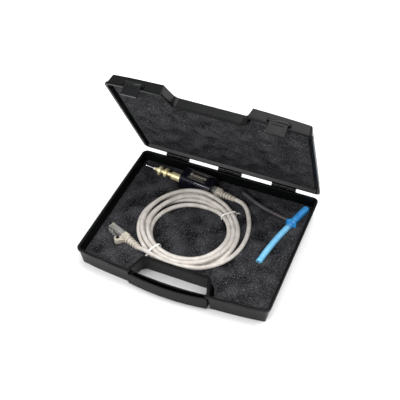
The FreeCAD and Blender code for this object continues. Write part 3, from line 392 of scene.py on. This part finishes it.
def chip_epoxy():
    """Transfer-moulded epoxy: charcoal, matt."""
    return moulded("moulded_epoxy", "26262a", "1a1a1c", 0.3, 0.01, 0.5, ior=1.55)


def trimmer_blue():
    """Moulded diallyl phthalate of the trimmer: mid blue."""
    return moulded("moulded_phthalate", "2b5fb4", "224d96", 0.3, 0.01, 0.38, ior=1.57)


def fired_ceramic():
    """Fired ceramic parts: buff, slightly glazed."""
    return moulded("fired_ceramic", "c8a978", "9c7c52", 0.3, 0.01, 0.4, ior=1.6)


# ---------------------------------------------------------------- finishes: lead
PVC_SCATTER = (0.002, 0.0015, 0.001)


def clear_polycarbonate():
    """Moulded clear polycarbonate: see-through, with faint flow marks and a warm grey cast."""
    material, tree, bsdf = blank_material("clear_polycarbonate", transmission_weight=0.82,
                                          ior=1.585, roughness=0.12)
    flow = noise(tree, 3.0)
    tree.links.new(two_colours(tree, flow.outputs[0], "d9d9d6", "f4f4f2"),
                   bsdf.inputs["Base Color"])
    raise_surface(tree, bsdf, flow.outputs[0], 0.05)
    return material


def gold_flash():
    """Gold-flashed phosphor bronze of the contacts."""
    return moulded("gold_flashed_bronze", "f0c862", "d9a940", 0.3, 0.004, 0.25, patch_mm=1.5,
                   metallic=1.0)


def soft_boot():
    """Moulded soft PVC of the boots: beige-grey and satin, like the cable but a shade darker."""
    return moulded("moulded_soft_pvc", "c6beb2", "aca497", 0.4, 0.02, 0.46, patch_mm=6.0,
                   ior=1.53, subsurface_weight=0.05, subsurface_radius=PVC_SCATTER)


def cable_jacket():
    """Extruded PVC jacket: light warm grey, a little pink, with faint drawing lines."""
    material, tree, bsdf = blank_material("extruded_pvc_jacket", ior=1.53,
                                          subsurface_weight=0.05,
                                          subsurface_radius=PVC_SCATTER)
    patches = noise(tree, 9.0)
    grain = noise(tree, 0.8, 3.0)
    tree.links.new(two_colours(tree, patches.outputs[0], "bcb6af", "d2ccc6"),
                   bsdf.inputs["Base Color"])
    tree.links.new(steps(tree, grain.outputs[0], 0.3, 0.7, 0.38, 0.52),
                   bsdf.inputs["Roughness"])
    raise_surface(tree, bsdf, grain.outputs[0], 0.02)
    return material


def wire_colours():
    """Polyolefin core insulation: the colour changes from core to core across the plug."""
    material, tree, bsdf = blank_material("polyolefin_cores", roughness=0.35, ior=1.5)
    cores = noise(tree, 1.1, 0.0)
    ramp = add_node(tree, "ShaderNodeValToRGB", {}, {0: cores.outputs[0]})
    ramp.color_ramp.interpolation = "CONSTANT"
    stops = [(0.0, "d9782c"), (0.42, "e9e6df"), (0.47, "2f7d46"), (0.52, "ece9e2"),
             (0.57, "2d5fae"), (0.63, "7a4a2c")]
    for index, (place, code) in enumerate(stops):
        stop = ramp.color_ramp.elements[index] if index < 2 else ramp.color_ramp.elements.new(place)
        stop.position = place
        stop.color = srgb(code)
    tree.links.new(ramp.outputs[0], bsdf.inputs["Base Color"])
    return material


def coated_tie():
    """Coated-wire tie: off-white plastic film with a wire rib."""
    return moulded("coated_wire_tie", "f8f6f2", "eae7e1", 0.5, 0.03, 0.36, patch_mm=3.0,
                   ior=1.5)


# ---------------------------------------------------------------- finishes: hoses
def moulded_blue_abs():
    """Moulded ABS of the adapter: strong sky blue, satin."""
    return moulded("moulded_blue_abs", "45a6e6", "2c82c6", 0.5, 0.01, 0.34, patch_mm=7.0,
                   ior=1.54)


def blue_silicone():
    """Extruded silicone hose: light sky blue, soft sheen, light passing a little way in."""
    return moulded("extruded_silicone", "83c9ee", "6dbbe6", 0.6, 0.01, 0.36, patch_mm=10.0,
                   ior=1.43, subsurface_weight=0.15, subsurface_radius=(0.001, 0.002, 0.003))


def black_epdm():
    """Extruded EPDM hose: dark grey with a dusty bloom."""
    return moulded("extruded_epdm", "47474b", "333337", 0.5, 0.02, 0.55, patch_mm=5.0, ior=1.5)


def shrunk_sleeve():
    """Heat-shrunk polyolefin sleeve: warm dark grey, slightly glossy."""
    return moulded("shrunk_polyolefin", "403a3e", "2c282b", 0.8, 0.03, 0.42, patch_mm=4.0,
                   ior=1.5)


# ---------------------------------------------------------------- foams
FOAM_STEP = 1.6 * MM
FOAM_SLOPE = 1.9
FOAM_MARGIN = 0.4 * MM
FOAM_LEAST = 1.0 * MM
CONTENTS_GAP = 0.25 * MM
# Within this distance of its cut sides the foam flattens to a steady share of its relief
FLAT_BORDER = 16 * MM
MEAN_SHARE = 0.65


def spaced(low, high, step):
    """Evenly spaced values from low to high, about a step apart."""
    count = max(2, round((high - low) / step))
    return [low + (high - low) * i / count for i in range(count + 1)]


def press_down(heights, step, slope):
    """Spreads each pressed place outwards at a slope, as foam does round what lies on it."""
    columns, rows = len(heights), len(heights[0])
    for way in (1, -1):
        for _ in range(2):
            for i in range(columns)[::way]:
                for j in range(rows)[::way]:
                    for di, dj, far in ((way, 0, 1.0), (0, way, 1.0), (way, way, 1.41),
                                        (way, -way, 1.41)):
                        a, b = i - di, j - dj
                        if 0 <= a < columns and 0 <= b < rows:
                            limit = heights[a][b] + slope * step * far
                            heights[i][j] = min(heights[i][j], limit)


def foam_pad(name, node, place, up, sizes, material, contents=None):
    """An egg-box foam pad in the outline of its CAD slab, pressed under its contents.

    place takes the pad's own frame to the row frame, and up is the way its peaks point.
    The relief attribute holds painted shade worked out from how high each point stands: the finish
    darkens the valleys and lightens the peaks with it."""
    back = place.inverted()
    slab = frame["nodes"][node]
    points = [back @ v.co for v in slab.data.vertices]
    tree = BVHTree.FromPolygons(points, [list(p.vertices) for p in slab.data.polygons])
    low = Vector([min(p[i] for p in points) for i in range(3)])
    high = Vector([max(p[i] for p in points) for i in range(3)])
    root = low.z if up > 0 else high.z
    level = root + up * FOAM_LEAST
    reach = Vector((0, 0.02, 0))
    columns, edges = [], []
    for x in spaced(low.x + FOAM_MARGIN, high.x - FOAM_MARGIN, FOAM_STEP):
        front = tree.ray_cast(Vector((x, low.y, level)) - reach, Vector((0, 1, 0)))[0]
        rear = tree.ray_cast(Vector((x, high.y, level)) + reach, Vector((0, -1, 0)))[0]
        columns.append(x)
        edges.append((front.y, rear.y))
    rows = round((high.y - low.y) / FOAM_STEP)
    half = (high.x - low.x) / 2
    plan, thick = [], []
    for x, (front, rear) in zip(columns, edges):
        line, depths = [], []
        for j in range(rows + 1):
            y = front + (rear - front) * j / rows
            wave = (math.cos(2 * math.pi * (x + sizes["shift"]) / sizes["pitch"])
                    * math.cos(2 * math.pi * (y - 0.3 * sizes["shift"]) / sizes["pitch"]))
            ripple = 0.8 * lumps.noise(Vector((x, y, root)) / sizes["lump"])
            inside = min(x - low.x, high.x - x, y - front, rear - y)
            away = smooth_step(inside, 0.0, FLAT_BORDER)
            depth = sizes["valley"] + (sizes["peak"] - sizes["valley"]) * min(
                1.0, max(0.0, MEAN_SHARE + away * (0.4 * wave + ripple - 0.15)))
            grow = sizes["draft"] * depth
            middle = (front + rear) / 2
            across = (rear - front) / 2
            line.append((x * (1 + grow / half), middle + (y - middle) * (1 + grow / across)))
            depths.append(depth)
        plan.append(line)
        thick.append(depths)
    if contents is not None:
        for i, line in enumerate(plan):
            for j, (x, y) in enumerate(line):
                hit = contents.ray_cast(Vector((x, y, root)), UP)[0]
                if hit is not None:
                    thick[i][j] = min(thick[i][j], hit.z - root - CONTENTS_GAP)
        press_down(thick, FOAM_STEP, FOAM_SLOPE)
    surface = [Vector((x, y, root + up * max(thick[i][j], FOAM_LEAST)))
               for i, line in enumerate(plan) for j, (x, y) in enumerate(line)]
    count = rows + 1
    faces = [[i * count + j, (i + 1) * count + j, (i + 1) * count + j + 1, i * count + j + 1]
             for i in range(len(columns) - 1) for j in range(rows)]
    start = len(surface)
    for x, (front, rear) in zip(columns, edges):
        surface += [Vector((x, front, root)), Vector((x, rear, root))]
    for i in range(len(columns) - 1):
        a, b = start + 2 * i, start + 2 * i + 2
        faces += [[a, b, b + 1, a + 1], [i * count, a, b, (i + 1) * count],
                  [i * count + rows, (i + 1) * count + rows, b + 1, a + 1]]
    last = (len(columns) - 1) * count
    faces += [[start, *range(count), start + 1],
              [start + 2 * len(columns) - 2, *range(last, last + count),
               start + 2 * len(columns) - 1]]
    piece = new_mesh(name, [place @ p for p in surface], faces, material)
    # Painted shade: the relief value is darker where the foam is thin, in the valleys, and lighter
    # at the peaks.
    relief = piece.data.attributes.new("relief", "FLOAT", "POINT")
    depths = [depth for line in thick for depth in line]
    for value, depth in zip(relief.data, depths):
        share = (depth - sizes["valley"]) / (sizes["peak"] - sizes["valley"])
        value.value = 0.3 + (share - 0.5) * sizes["shade"]
    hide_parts(node)
    return piece


# ---------------------------------------------------------------- lead
COIL_CENTRE = Vector((-15.0, -6.5, 0))
COIL_START = math.radians(-64.3)
COIL_TURNS = 5.11
BOTTOM_TURNS = 2.45
POINTS_PER_TURN = 20
TOP_LAYER = 2.65
LAYER_LOW = 14.3
LAYER_STEP = 5.5
# The top layer's turns drift outwards past this angle, and again about opposite it
DRIFT_ANGLE = math.radians(89)
DRIFT_SHARE = 0.187
DRIFT_SHARPNESS = 1.64
LOWER_TIE = math.radians(-115)
UPPER_TIE = math.radians(44)
TIE_CLEARANCE = 3.2
TIE_BAND = (2.5 * MM, 0.7 * MM)
TIE_TAIL = (1.9 * MM, 0.6 * MM)
TWISTED_SHARE = 0.45
# Round the coil: degrees, then the radius of the innermost and of the outermost turn, in mm
BUNDLE = ((-108, 46.9, 60.2), (-62, 48.4, 62.0), (-30, 50.0, 63.4), (0, 51.3, 64.8),
          (44, 47.6, 60.9), (89, 43.0, 64.4), (110, 42.0, 65.4), (134, 41.4, 65.8),
          (160, 41.2, 65.8), (196, 43.2, 62.4), (232, 45.3, 58.5))


def bundle_at(angle):
    """Radii of the innermost and outermost turn at an angle, in millimetres."""
    degrees = math.degrees(angle)
    first = BUNDLE[0][0]
    degrees = (degrees - first) % 360 + first
    count = len(BUNDLE)
    laps = [(row[0] + 360 * lap, *row[1:]) for lap in (-1, 0, 1) for row in BUNDLE]
    index = max(i for i in range(count, 2 * count) if laps[i][0] <= degrees)
    before, here, there, after = laps[index - 1:index + 3]
    span = there[0] - here[0]
    t = (degrees - here[0]) / span
    radii = []
    for k in (1, 2):
        leave = (there[k] - before[k]) / (there[0] - before[0]) * span
        reach = (after[k] - here[k]) / (after[0] - here[0]) * span
        radii.append((2 * t ** 3 - 3 * t * t + 1) * here[k] + (t ** 3 - 2 * t * t + t) * leave
                     + (3 * t * t - 2 * t ** 3) * there[k] + (t ** 3 - t * t) * reach)
    return radii


def turn_radius(turn):
    """Radius of the cable after so many turns: outside in for the first layer, then back out."""
    angle = COIL_START - 2 * math.pi * turn
    inner, outer = bundle_at(angle)
    if turn < TOP_LAYER:
        share = 1 - min(turn, BOTTOM_TURNS) / BOTTOM_TURNS
    else:
        far_side = max(0.0, math.cos((angle - DRIFT_ANGLE) % (2 * math.pi) * DRIFT_SHARPNESS))
        share = (turn - TOP_LAYER) / (COIL_TURNS - TOP_LAYER)
        share += DRIFT_SHARE * far_side ** 2 * smooth_step(turn, TOP_LAYER, TOP_LAYER + 0.3)
    return angle, inner + (outer - inner) * share


def coil_place(turn):
    """Place of the cable in the coil after so many turns, in millimetres.

    The later turns lie on the first ones, or sink between them where those spread out."""
    angle, radius = turn_radius(turn)
    lift = 0.0
    if turn > BOTTOM_TURNS:
        below = [turn_radius(turn % 1 + lap)[1] for lap in range(3)
                 if turn % 1 + lap <= BOTTOM_TURNS and turn - turn % 1 - lap > 0.5]
        apart = min(abs(radius - each) for each in below)
        lift = math.sqrt(max(0.0, LAYER_STEP ** 2 - apart ** 2))
    widen = 2 / (1 + math.cos(math.pi / POINTS_PER_TURN))
    return COIL_CENTRE + Vector((radius * widen * math.cos(angle),
                                 radius * widen * math.sin(angle), LAYER_LOW + lift))


def lead_route():
    """Control points of the patch lead from the probe's plug, round the coil, to the free plug."""
    out = metres((21.04, 62.41, 15.3), (28.9, 61.3, 15.2), (36.2, 56.9, 15.0),
                 (42.4, 49.0, 14.8), (48.0, 38.4, 14.6), (52.5, 26.7, 14.5),
                 (55.4, 14.1, 14.4), (56.3, 0.6, 14.4), (55.0, -12.8, 14.4),
                 (51.1, -25.9, 14.5), (44.6, -37.9, 14.6), (35.4, -48.1, 14.7),
                 (24.3, -56.2, 14.6), (11.9, -62.2, 14.4))
    count = round(COIL_TURNS * POINTS_PER_TURN)
    turns = [coil_place(COIL_TURNS * i / count) * MM for i in range(1, count)]
    back = metres((-35.4, -63.6, 19.8), (-41.0, -61.9, 19.7), (-46.5, -60.0, 18.9),
                  (-51.5, -58.1, 17.0), (-56.18, -56.3, 14.6))
    return out + turns + back


def ribbon(stations, width, thickness):
    """Corners and faces of a flat band through (place, side, out) stations."""
    points, faces = [], []
    for place, side, out in stations:
        side, out = side.normalized() * width / 2, out.normalized() * thickness / 2
        points += [place - side - out, place + side - out, place + side + out, place - side + out]
    for i in range(len(stations) - 1):
        a, b = 4 * i, 4 * i + 4
        faces += [[a + k, a + (k + 1) % 4, b + (k + 1) % 4, b + k] for k in range(4)]
    return points, faces


def make_tie(name, angle, tails, material):
    """A coated-wire tie: a band round the bundle, a twisted neck and two free tails."""
    inner, outer = bundle_at(angle)
    out = Vector((math.cos(angle), math.sin(angle), 0))
    side = Vector((-out.y, out.x, 0))
    middle = (COIL_CENTRE + out * (inner + outer) / 2) * MM
    middle.z = (LAYER_LOW + LAYER_STEP / 2) * MM
    wide = ((outer - inner) / 2 + TIE_CLEARANCE) * MM
    tall = (LAYER_STEP / 2 + TIE_CLEARANCE) * MM
    count, power = 40, 0.62
    loop = []
    for i in range(count + 1):
        turn = 2 * math.pi * i / count
        c, s = math.cos(turn), math.sin(turn)
        reach = out * math.copysign(abs(c) ** power, c) * wide
        lift = UP * math.copysign(abs(s) ** power, s) * tall
        loop.append((middle + reach + lift, side, reach / wide ** 2 + lift / tall ** 2))
    points, faces = ribbon(loop, *TIE_BAND)
    neck = middle + out * (wide + 0.3 * MM)
    for way, droop in tails:
        stations = []
        for i in range(19):
            share = i / 18
            twist = way * math.pi / 2 + 2.2 * math.pi * min(share, TWISTED_SHARE) / TWISTED_SHARE
            across = side * math.cos(twist) + UP * math.sin(twist)
            spread = max(0.0, share - TWISTED_SHARE) ** 1.4
            place = (neck + out * 4.0 * MM * share + side * way * 6.0 * MM * spread
                     + across * 0.45 * MM - UP * droop * MM * share ** 1.6)
            stations.append((place, across, out.cross(across)))
        more, sides = ribbon(stations, *TIE_TAIL)
        sides += [[0, 3, 2, 1], [4 * len(stations) - 4 + k for k in range(4)]]
        faces += [[len(points) + k for k in face] for face in sides]
        points += more
    piece = new_mesh(name, points, faces, material)
    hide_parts(name)
    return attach(piece, "lead")


# ---------------------------------------------------------------- plate marks
def make_plate_marks(material):
    """Generic printed marks on the housing's plate: two frame lines, a row of bars and an
    underline.
    """
    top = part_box("rating_plate")[1].z / MM - 15.3
    bars = [(9.6, 34.0, -3.6, -3.2), (9.6, 34.0, 9.2, 9.6)]
    widths = [2.6, 1.2, 3.4, 1.2, 2.2, 3.0, 1.2, 2.0]
    start = 10.6
    for index, width in enumerate(widths):
        high = 5.6 if index % 3 == 0 else 4.6
        bars.append((start, start + width, 1.4, high))
        start += width + 0.8
    bars.append((10.6, 30.5, -0.9, -0.3))
    points, faces = [], []
    for left, right, low, high in bars:
        base = len(points)
        points += [PROBE_PLACE @ (Vector((x, y, z)) * MM) for z in (top, top + 0.06)
                   for x, y in ((left, low), (right, low), (right, high), (left, high))]
        faces += [[base + k for k in face] for face in
                  ((0, 3, 2, 1), (4, 5, 6, 7), (0, 1, 5, 4), (1, 2, 6, 5), (2, 3, 7, 6),
                   (3, 0, 4, 7))]
    piece = new_mesh("plate_marks", points, faces, material, smooth=False)
    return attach(piece, "probe")


# ---------------------------------------------------------------- hoses
SLEEVE_START, SLEEVE_END = metres((91.49, 55.04, 14.88), (71.11, 60.11, 14.48))
SLEEVE_RADIUS = 3.1 * MM
BLACK_HOSE_WALL = 0.9 * MM


def lathe(stations, material, name, sides=32):
    """A round body through (place, radius) stations along a line."""
    points, faces = [], []
    along = (stations[-1][0] - stations[0][0]).normalized()
    across = along.cross(UP).normalized()
    other = along.cross(across)
    for place, radius in stations:
        points += [place + (across * math.cos(2 * math.pi * k / sides)
                            + other * math.sin(2 * math.pi * k / sides)) * radius
                   for k in range(sides)]
    for i in range(len(stations) - 1):
        a, b = i * sides, (i + 1) * sides
        faces += [[a + k, a + (k + 1) % sides, b + (k + 1) % sides, b + k]
                  for k in range(sides)]
    faces += [list(range(sides))[::-1], list(range(len(points) - sides, len(points)))]
    return new_mesh(name, points, faces, material)


def make_sleeve(material):
    """The shrunk sleeve over the black hose: rounded ends and soft shrink rings."""
    half = (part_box("hose_sleeve")[1].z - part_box("hose_sleeve")[0].z) / 2 - 0.3 * MM
    full = min(half, SLEEVE_RADIUS)
    stations = []
    count = 28
    for i in range(count + 1):
        share = i / count
        end = min(share, 1 - share) * 18
        radius = full * (0.86 + 0.14 * smooth_step(end, 0.0, 1.2))
        radius *= 1 - 0.02 * (0.5 + 0.5 * math.sin(38 * share))
        stations.append((SLEEVE_START.lerp(SLEEVE_END, share), radius))
    piece = lathe(stations, material, "hose_sleeve_shrunk")
    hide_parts("hose_sleeve")
    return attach(piece, "hoses")


# ---------------------------------------------------------------- sizes that a user would change
class FoamSizes(bpy.types.PropertyGroup):
    """Sizes of the egg-box foams."""

    pitch: bpy.props.FloatProperty(
        name="Peak pitch", description="Distance between peaks along the case",
        default=38 * MM, min=10 * MM, unit="LENGTH")
    base_peak: bpy.props.FloatProperty(
        name="Base peak", description="Thickness of the base foam at its peaks",
        default=12.8 * MM, min=2 * MM, unit="LENGTH")
    base_valley: bpy.props.FloatProperty(
        name="Base valley", description="Thickness of the base foam at its valleys",
        default=7.6 * MM, min=1 * MM, unit="LENGTH")
    lid_valley: bpy.props.FloatProperty(
        name="Lid valley", description="Thickness of the lid foam at its valleys",
        default=4.6 * MM, min=1 * MM, unit="LENGTH")


class LeadSizes(bpy.types.PropertyGroup):
    """Sizes of the patch lead."""

    diameter: bpy.props.FloatProperty(
        name="Cable", description="Diameter of the patch lead's cable",
        default=5.5 * MM, min=1 * MM, unit="LENGTH")


class HoseSizes(bpy.types.PropertyGroup):
    """Sizes of the two hoses."""

    blue: bpy.props.FloatProperty(
        name="Blue hose", description="Outside diameter of the blue hose",
        default=7.6 * MM, min=1 * MM, unit="LENGTH")
    blue_wall: bpy.props.FloatProperty(
        name="Blue wall", description="Wall of the blue hose",
        default=1.5 * MM, min=0.2 * MM, unit="LENGTH")
    black: bpy.props.FloatProperty(
        name="Black hose", description="Outside diameter of the black hose",
        default=5.4 * MM, min=1 * MM, unit="LENGTH")


class StageSizes(bpy.types.PropertyGroup):
    """Camera and floor colour."""

    azimuth: bpy.props.FloatProperty(
        name="Azimuth", description="Camera's turn about the case",
        default=math.radians(22.64), subtype="ANGLE")
    elevation: bpy.props.FloatProperty(
        name="Elevation", description="Camera's angle above the floor",
        default=math.radians(45.48), subtype="ANGLE")
    distance: bpy.props.FloatProperty(
        name="Distance", description="Camera's distance from the case",
        default=0.9896, min=0.1, unit="LENGTH")
    lens: bpy.props.FloatProperty(
        name="Lens", description="Focal length in millimetres on a 36 mm sensor", default=71.86)
    floor: bpy.props.FloatVectorProperty(
        name="Floor", description="Colour of the floor", size=4, subtype="COLOR",
        min=0.0, max=1.0, default=srgb("f4f4f4"))


# ---------------------------------------------------------------- operators
class PROBEKIT_OT_case(bpy.types.Operator):
    """Finish the case, its latches and its pins"""

    bl_idname = "probekit.case"
    bl_label = "Case"

    def execute(self, context):
        finish_nodes(moulded_polypropylene(), "base_shell", "lid_shell")
        finish_nodes(latch_acetal(), "latch_left", "latch_right")
        finish_nodes(drawn_steel(), "hinge_pin_left", "hinge_pin_middle", "hinge_pin_right",
                     "latch_pin_left", "latch_pin_right")
        soften_edges(0.45, "base_shell", "lid_shell", flat_faces=True)
        soften_edges(0.25, "latch_left", "latch_right")
        return {"FINISHED"}


class PROBEKIT_OT_probe(bpy.types.Operator):
    """Finish the probe, inside and out, and print its plate"""

    bl_idname = "probekit.probe"
    bl_label = "Probe"

    def execute(self, context):
        finish_nodes(moulded_gloss_abs(), "housing_tray", "housing_cover")
        finish_nodes(printed_film(), "rating_plate")
        finish_nodes(turned_brass(), "brass_stem", "collar_nut", "stem_locknut", "sensing_disc")
        finish_nodes(ground_steel(), "tip_needle")
        finish_nodes(white_ptfe(), "tip_insulator")
        finish_nodes(nitrile_rubber(), "sealing_ring", "jack_shell")
        finish_nodes(bpy.data.materials["drawn_steel"], "housing_screws")
        finish_nodes(solder_mask(), "circuit_board")
        finish_nodes(chip_epoxy(), "amplifier_chip")
        finish_nodes(trimmer_blue(), "trimmer")
        finish_nodes(fired_ceramic(), "board_components")
        soften_edges(0.3, "housing_tray", "housing_cover")
        make_plate_marks(plate_ink())
        return {"FINISHED"}


class PROBEKIT_OT_lead(bpy.types.Operator):
    """Lay the coiled patch lead, tie it and finish its plugs"""

    bl_idname = "probekit.lead"
    bl_label = "Patch lead"

    def execute(self, context):
        sizes = context.scene.probekit_lead
        finish_nodes(clear_polycarbonate(), "probe_plug_shell", "free_plug_shell",
                     "free_plug_tab")
        finish_nodes(gold_flash(), "probe_plug_contacts", "free_plug_contacts", "jack_contacts")
        finish_nodes(wire_colours(), "probe_plug_wires", "free_plug_wires", "signal_wire")
        finish_nodes(soft_boot(), "probe_plug_boot", "free_plug_boot")
        soften_edges(0.3, "probe_plug_boot", "free_plug_boot")
        route = lead_route()
        lead = nurbs_cord("patch_lead", route, sizes.diameter, cable_jacket())
        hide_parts("cable_to_probe", "coil", "cable_to_plug")
        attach(lead, "lead")
        tie = coated_tie()
        ties = [make_tie("tie_lower", LOWER_TIE, ((-1, 3.5), (1, 2.0)), tie),
                make_tie("tie_upper", UPPER_TIE, ((-1, -1.0), (1, 1.0)), tie)]
        round(length_of(centre_line(lead)), 3)
        return {"FINISHED"}


class PROBEKIT_OT_hoses(bpy.types.Operator):
    """Lay the two hoses and finish their adapter"""

    bl_idname = "probekit.hoses"
    bl_label = "Hoses"

    def execute(self, context):
        sizes = context.scene.probekit_hoses
        finish_nodes(moulded_blue_abs(), "hose_adapter")
        soften_edges(0.25, "hose_adapter")
        route = metres((97.03, 44.47, 15.2), (93.1, 31.8, 14.9), (89.6, 18.9, 14.4),
                       (86.6, 5.9, 13.8), (84.0, -7.5, 13.2), (81.8, -20.9, 12.6))
        blue = nurbs_cord("silicone_hose", route, sizes.blue, blue_silicone(), sizes.blue_wall)
        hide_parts("blue_hose")
        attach(blue, "hoses")
        round(length_of(centre_line(blue)), 3)
        route = [SLEEVE_START, SLEEVE_START.lerp(SLEEVE_END, 0.5), SLEEVE_END] + metres(
            (62.38, 62.28, 14.31), (52.2, 65.2, 14.6), (42.6, 69.4, 14.8),
            (33.4, 74.4, 15.0), (24.5, 78.6, 15.0))
        black = nurbs_cord("rubber_hose", route, sizes.black, black_epdm(),
                           BLACK_HOSE_WALL)
        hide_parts("black_hose")
        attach(black, "hoses")
        sleeve = make_sleeve(shrunk_sleeve())
        round(length_of(centre_line(black)), 3)
        return {"FINISHED"}


class PROBEKIT_OT_foams(bpy.types.Operator):
    bl_idname = "probekit.foams"
    bl_label = "Foams"

    def execute(self, context):
        sizes = context.scene.probekit_foams
        foam = reticulated_foam()
        lying = surface_of(CONTENTS, [bpy.data.objects[n] for n in
                                      ("patch_lead", "silicone_hose", "rubber_hose",
                                       "hose_sleeve_shrunk")])
        base = foam_pad("base_foam_egg_box", "base_foam", Matrix.Identity(4), 1,
                        {"pitch": sizes.pitch, "shift": 9 * MM, "peak": sizes.base_peak,
                         "valley": sizes.base_valley, "draft": 0.3, "lump": 22 * MM,
                         "shade": 0.42}, foam, lying)
        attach(base, "base")
        back = LID_PLACE.inverted()
        depth = [(back @ v.co).z for v in frame["nodes"]["lid_foam"].data.vertices]
        lid = foam_pad("lid_foam_egg_box", "lid_foam", LID_PLACE, -1,
                       {"pitch": sizes.pitch, "shift": 16 * MM,
                        "peak": max(depth) - min(depth), "valley": sizes.lid_valley,
                        "draft": 0.1, "lump": 17 * MM, "shade": 0.25}, foam)
        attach(lid, "lid")
        return {"FINISHED"}


FLOOR_HALF = 6.0
FLOOR_DROP = 0.3 * MM
LOOK_AT = Vector((-15.9, 35.1, 26.0)) * MM
SKY_STRENGTH = 0.66
# Soft boxes: name, place in metres, side in metres and power in watts
SOFTBOXES = (("key_softbox", (0.4, 0.4, 1.6), 1.6, 34.0),
             ("front_softbox", (-0.30, -0.78, 0.74), 0.4, 6.5))


class PROBEKIT_OT_stage(bpy.types.Operator):
    """Set the pale floor, the soft light and the camera"""

    bl_idname = "probekit.stage"
    bl_label = "Stage"

    def execute(self, context):
        scene = context.scene
        sizes = scene.probekit_stage
        material, tree, bsdf = blank_material("pale_floor", roughness=0.7)
        bsdf.inputs["Base Color"].default_value = sizes.floor
        corners = [(x * FLOOR_HALF, y * FLOOR_HALF, -FLOOR_DROP)
                   for x, y in ((-1, -1), (1, -1), (1, 1), (-1, 1))]
        floor = new_mesh("floor", corners, [[0, 1, 2, 3]], material)
        world = bpy.data.worlds.new("studio")
        scene.world = world
        world.use_nodes = True
        sky = world.node_tree.nodes["Background"]
        sky.inputs["Color"].default_value = srgb("ffffff")
        sky.inputs["Strength"].default_value = SKY_STRENGTH
        for name, place, size, power in SOFTBOXES:
            light = bpy.data.lights.new(name, "AREA")
            light.size = size
            light.energy = power
            lamp = bpy.data.objects.new(name, light)
            lamp.location = place
            lamp.rotation_euler = (Vector(place) - LOOK_AT).to_track_quat("Z", "Y").to_euler()
            scene.collection.objects.link(lamp)
        view = bpy.data.cameras.new("camera")
        view.lens = sizes.lens
        camera = bpy.data.objects.new("camera", view)
        back = Vector((math.sin(sizes.azimuth) * math.cos(sizes.elevation),
                       -math.cos(sizes.azimuth) * math.cos(sizes.elevation),
                       math.sin(sizes.elevation)))
        camera.location = LOOK_AT + back * sizes.distance
        camera.rotation_euler = back.to_track_quat("Z", "Y").to_euler()
        scene.collection.objects.link(camera)
        scene.camera = camera
        scene.view_settings.view_transform = "Standard"
        return {"FINISHED"}


class PROBEKIT_PT_panel(bpy.types.Panel):
    bl_label = "Probe Kit"
    bl_idname = "PROBEKIT_PT_panel"
    bl_space_type = "VIEW_3D"
    bl_region_type = "UI"
    bl_category = "Probe Kit"

    def draw(self, context):
        for operator in OPERATORS:
            self.layout.operator(operator.bl_idname)


OPERATORS = (PROBEKIT_OT_case, PROBEKIT_OT_probe, PROBEKIT_OT_lead, PROBEKIT_OT_hoses,
             PROBEKIT_OT_foams, PROBEKIT_OT_stage)
GROUPS = {"probekit_foams": FoamSizes, "probekit_lead": LeadSizes,
          "probekit_hoses": HoseSizes, "probekit_stage": StageSizes}


def register():
    """Registers the groups, the operators and the panel."""
    for name, group in GROUPS.items():
        bpy.utils.register_class(group)
        setattr(bpy.types.Scene, name, bpy.props.PointerProperty(type=group))
    for each in (*OPERATORS, PROBEKIT_PT_panel):
        bpy.utils.register_class(each)


def unregister():
    """Takes away what register added."""
    for each in (PROBEKIT_PT_panel, *reversed(OPERATORS)):
        bpy.utils.unregister_class(each)
    for name, group in GROUPS.items():
        delattr(bpy.types.Scene, name)
        bpy.utils.unregister_class(group)


def main():
    register()
    for operator in OPERATORS:
        group, name = operator.bl_idname.split(".")
        getattr(getattr(bpy.ops, group), name)()


if __name__ == "__main__":
    main()
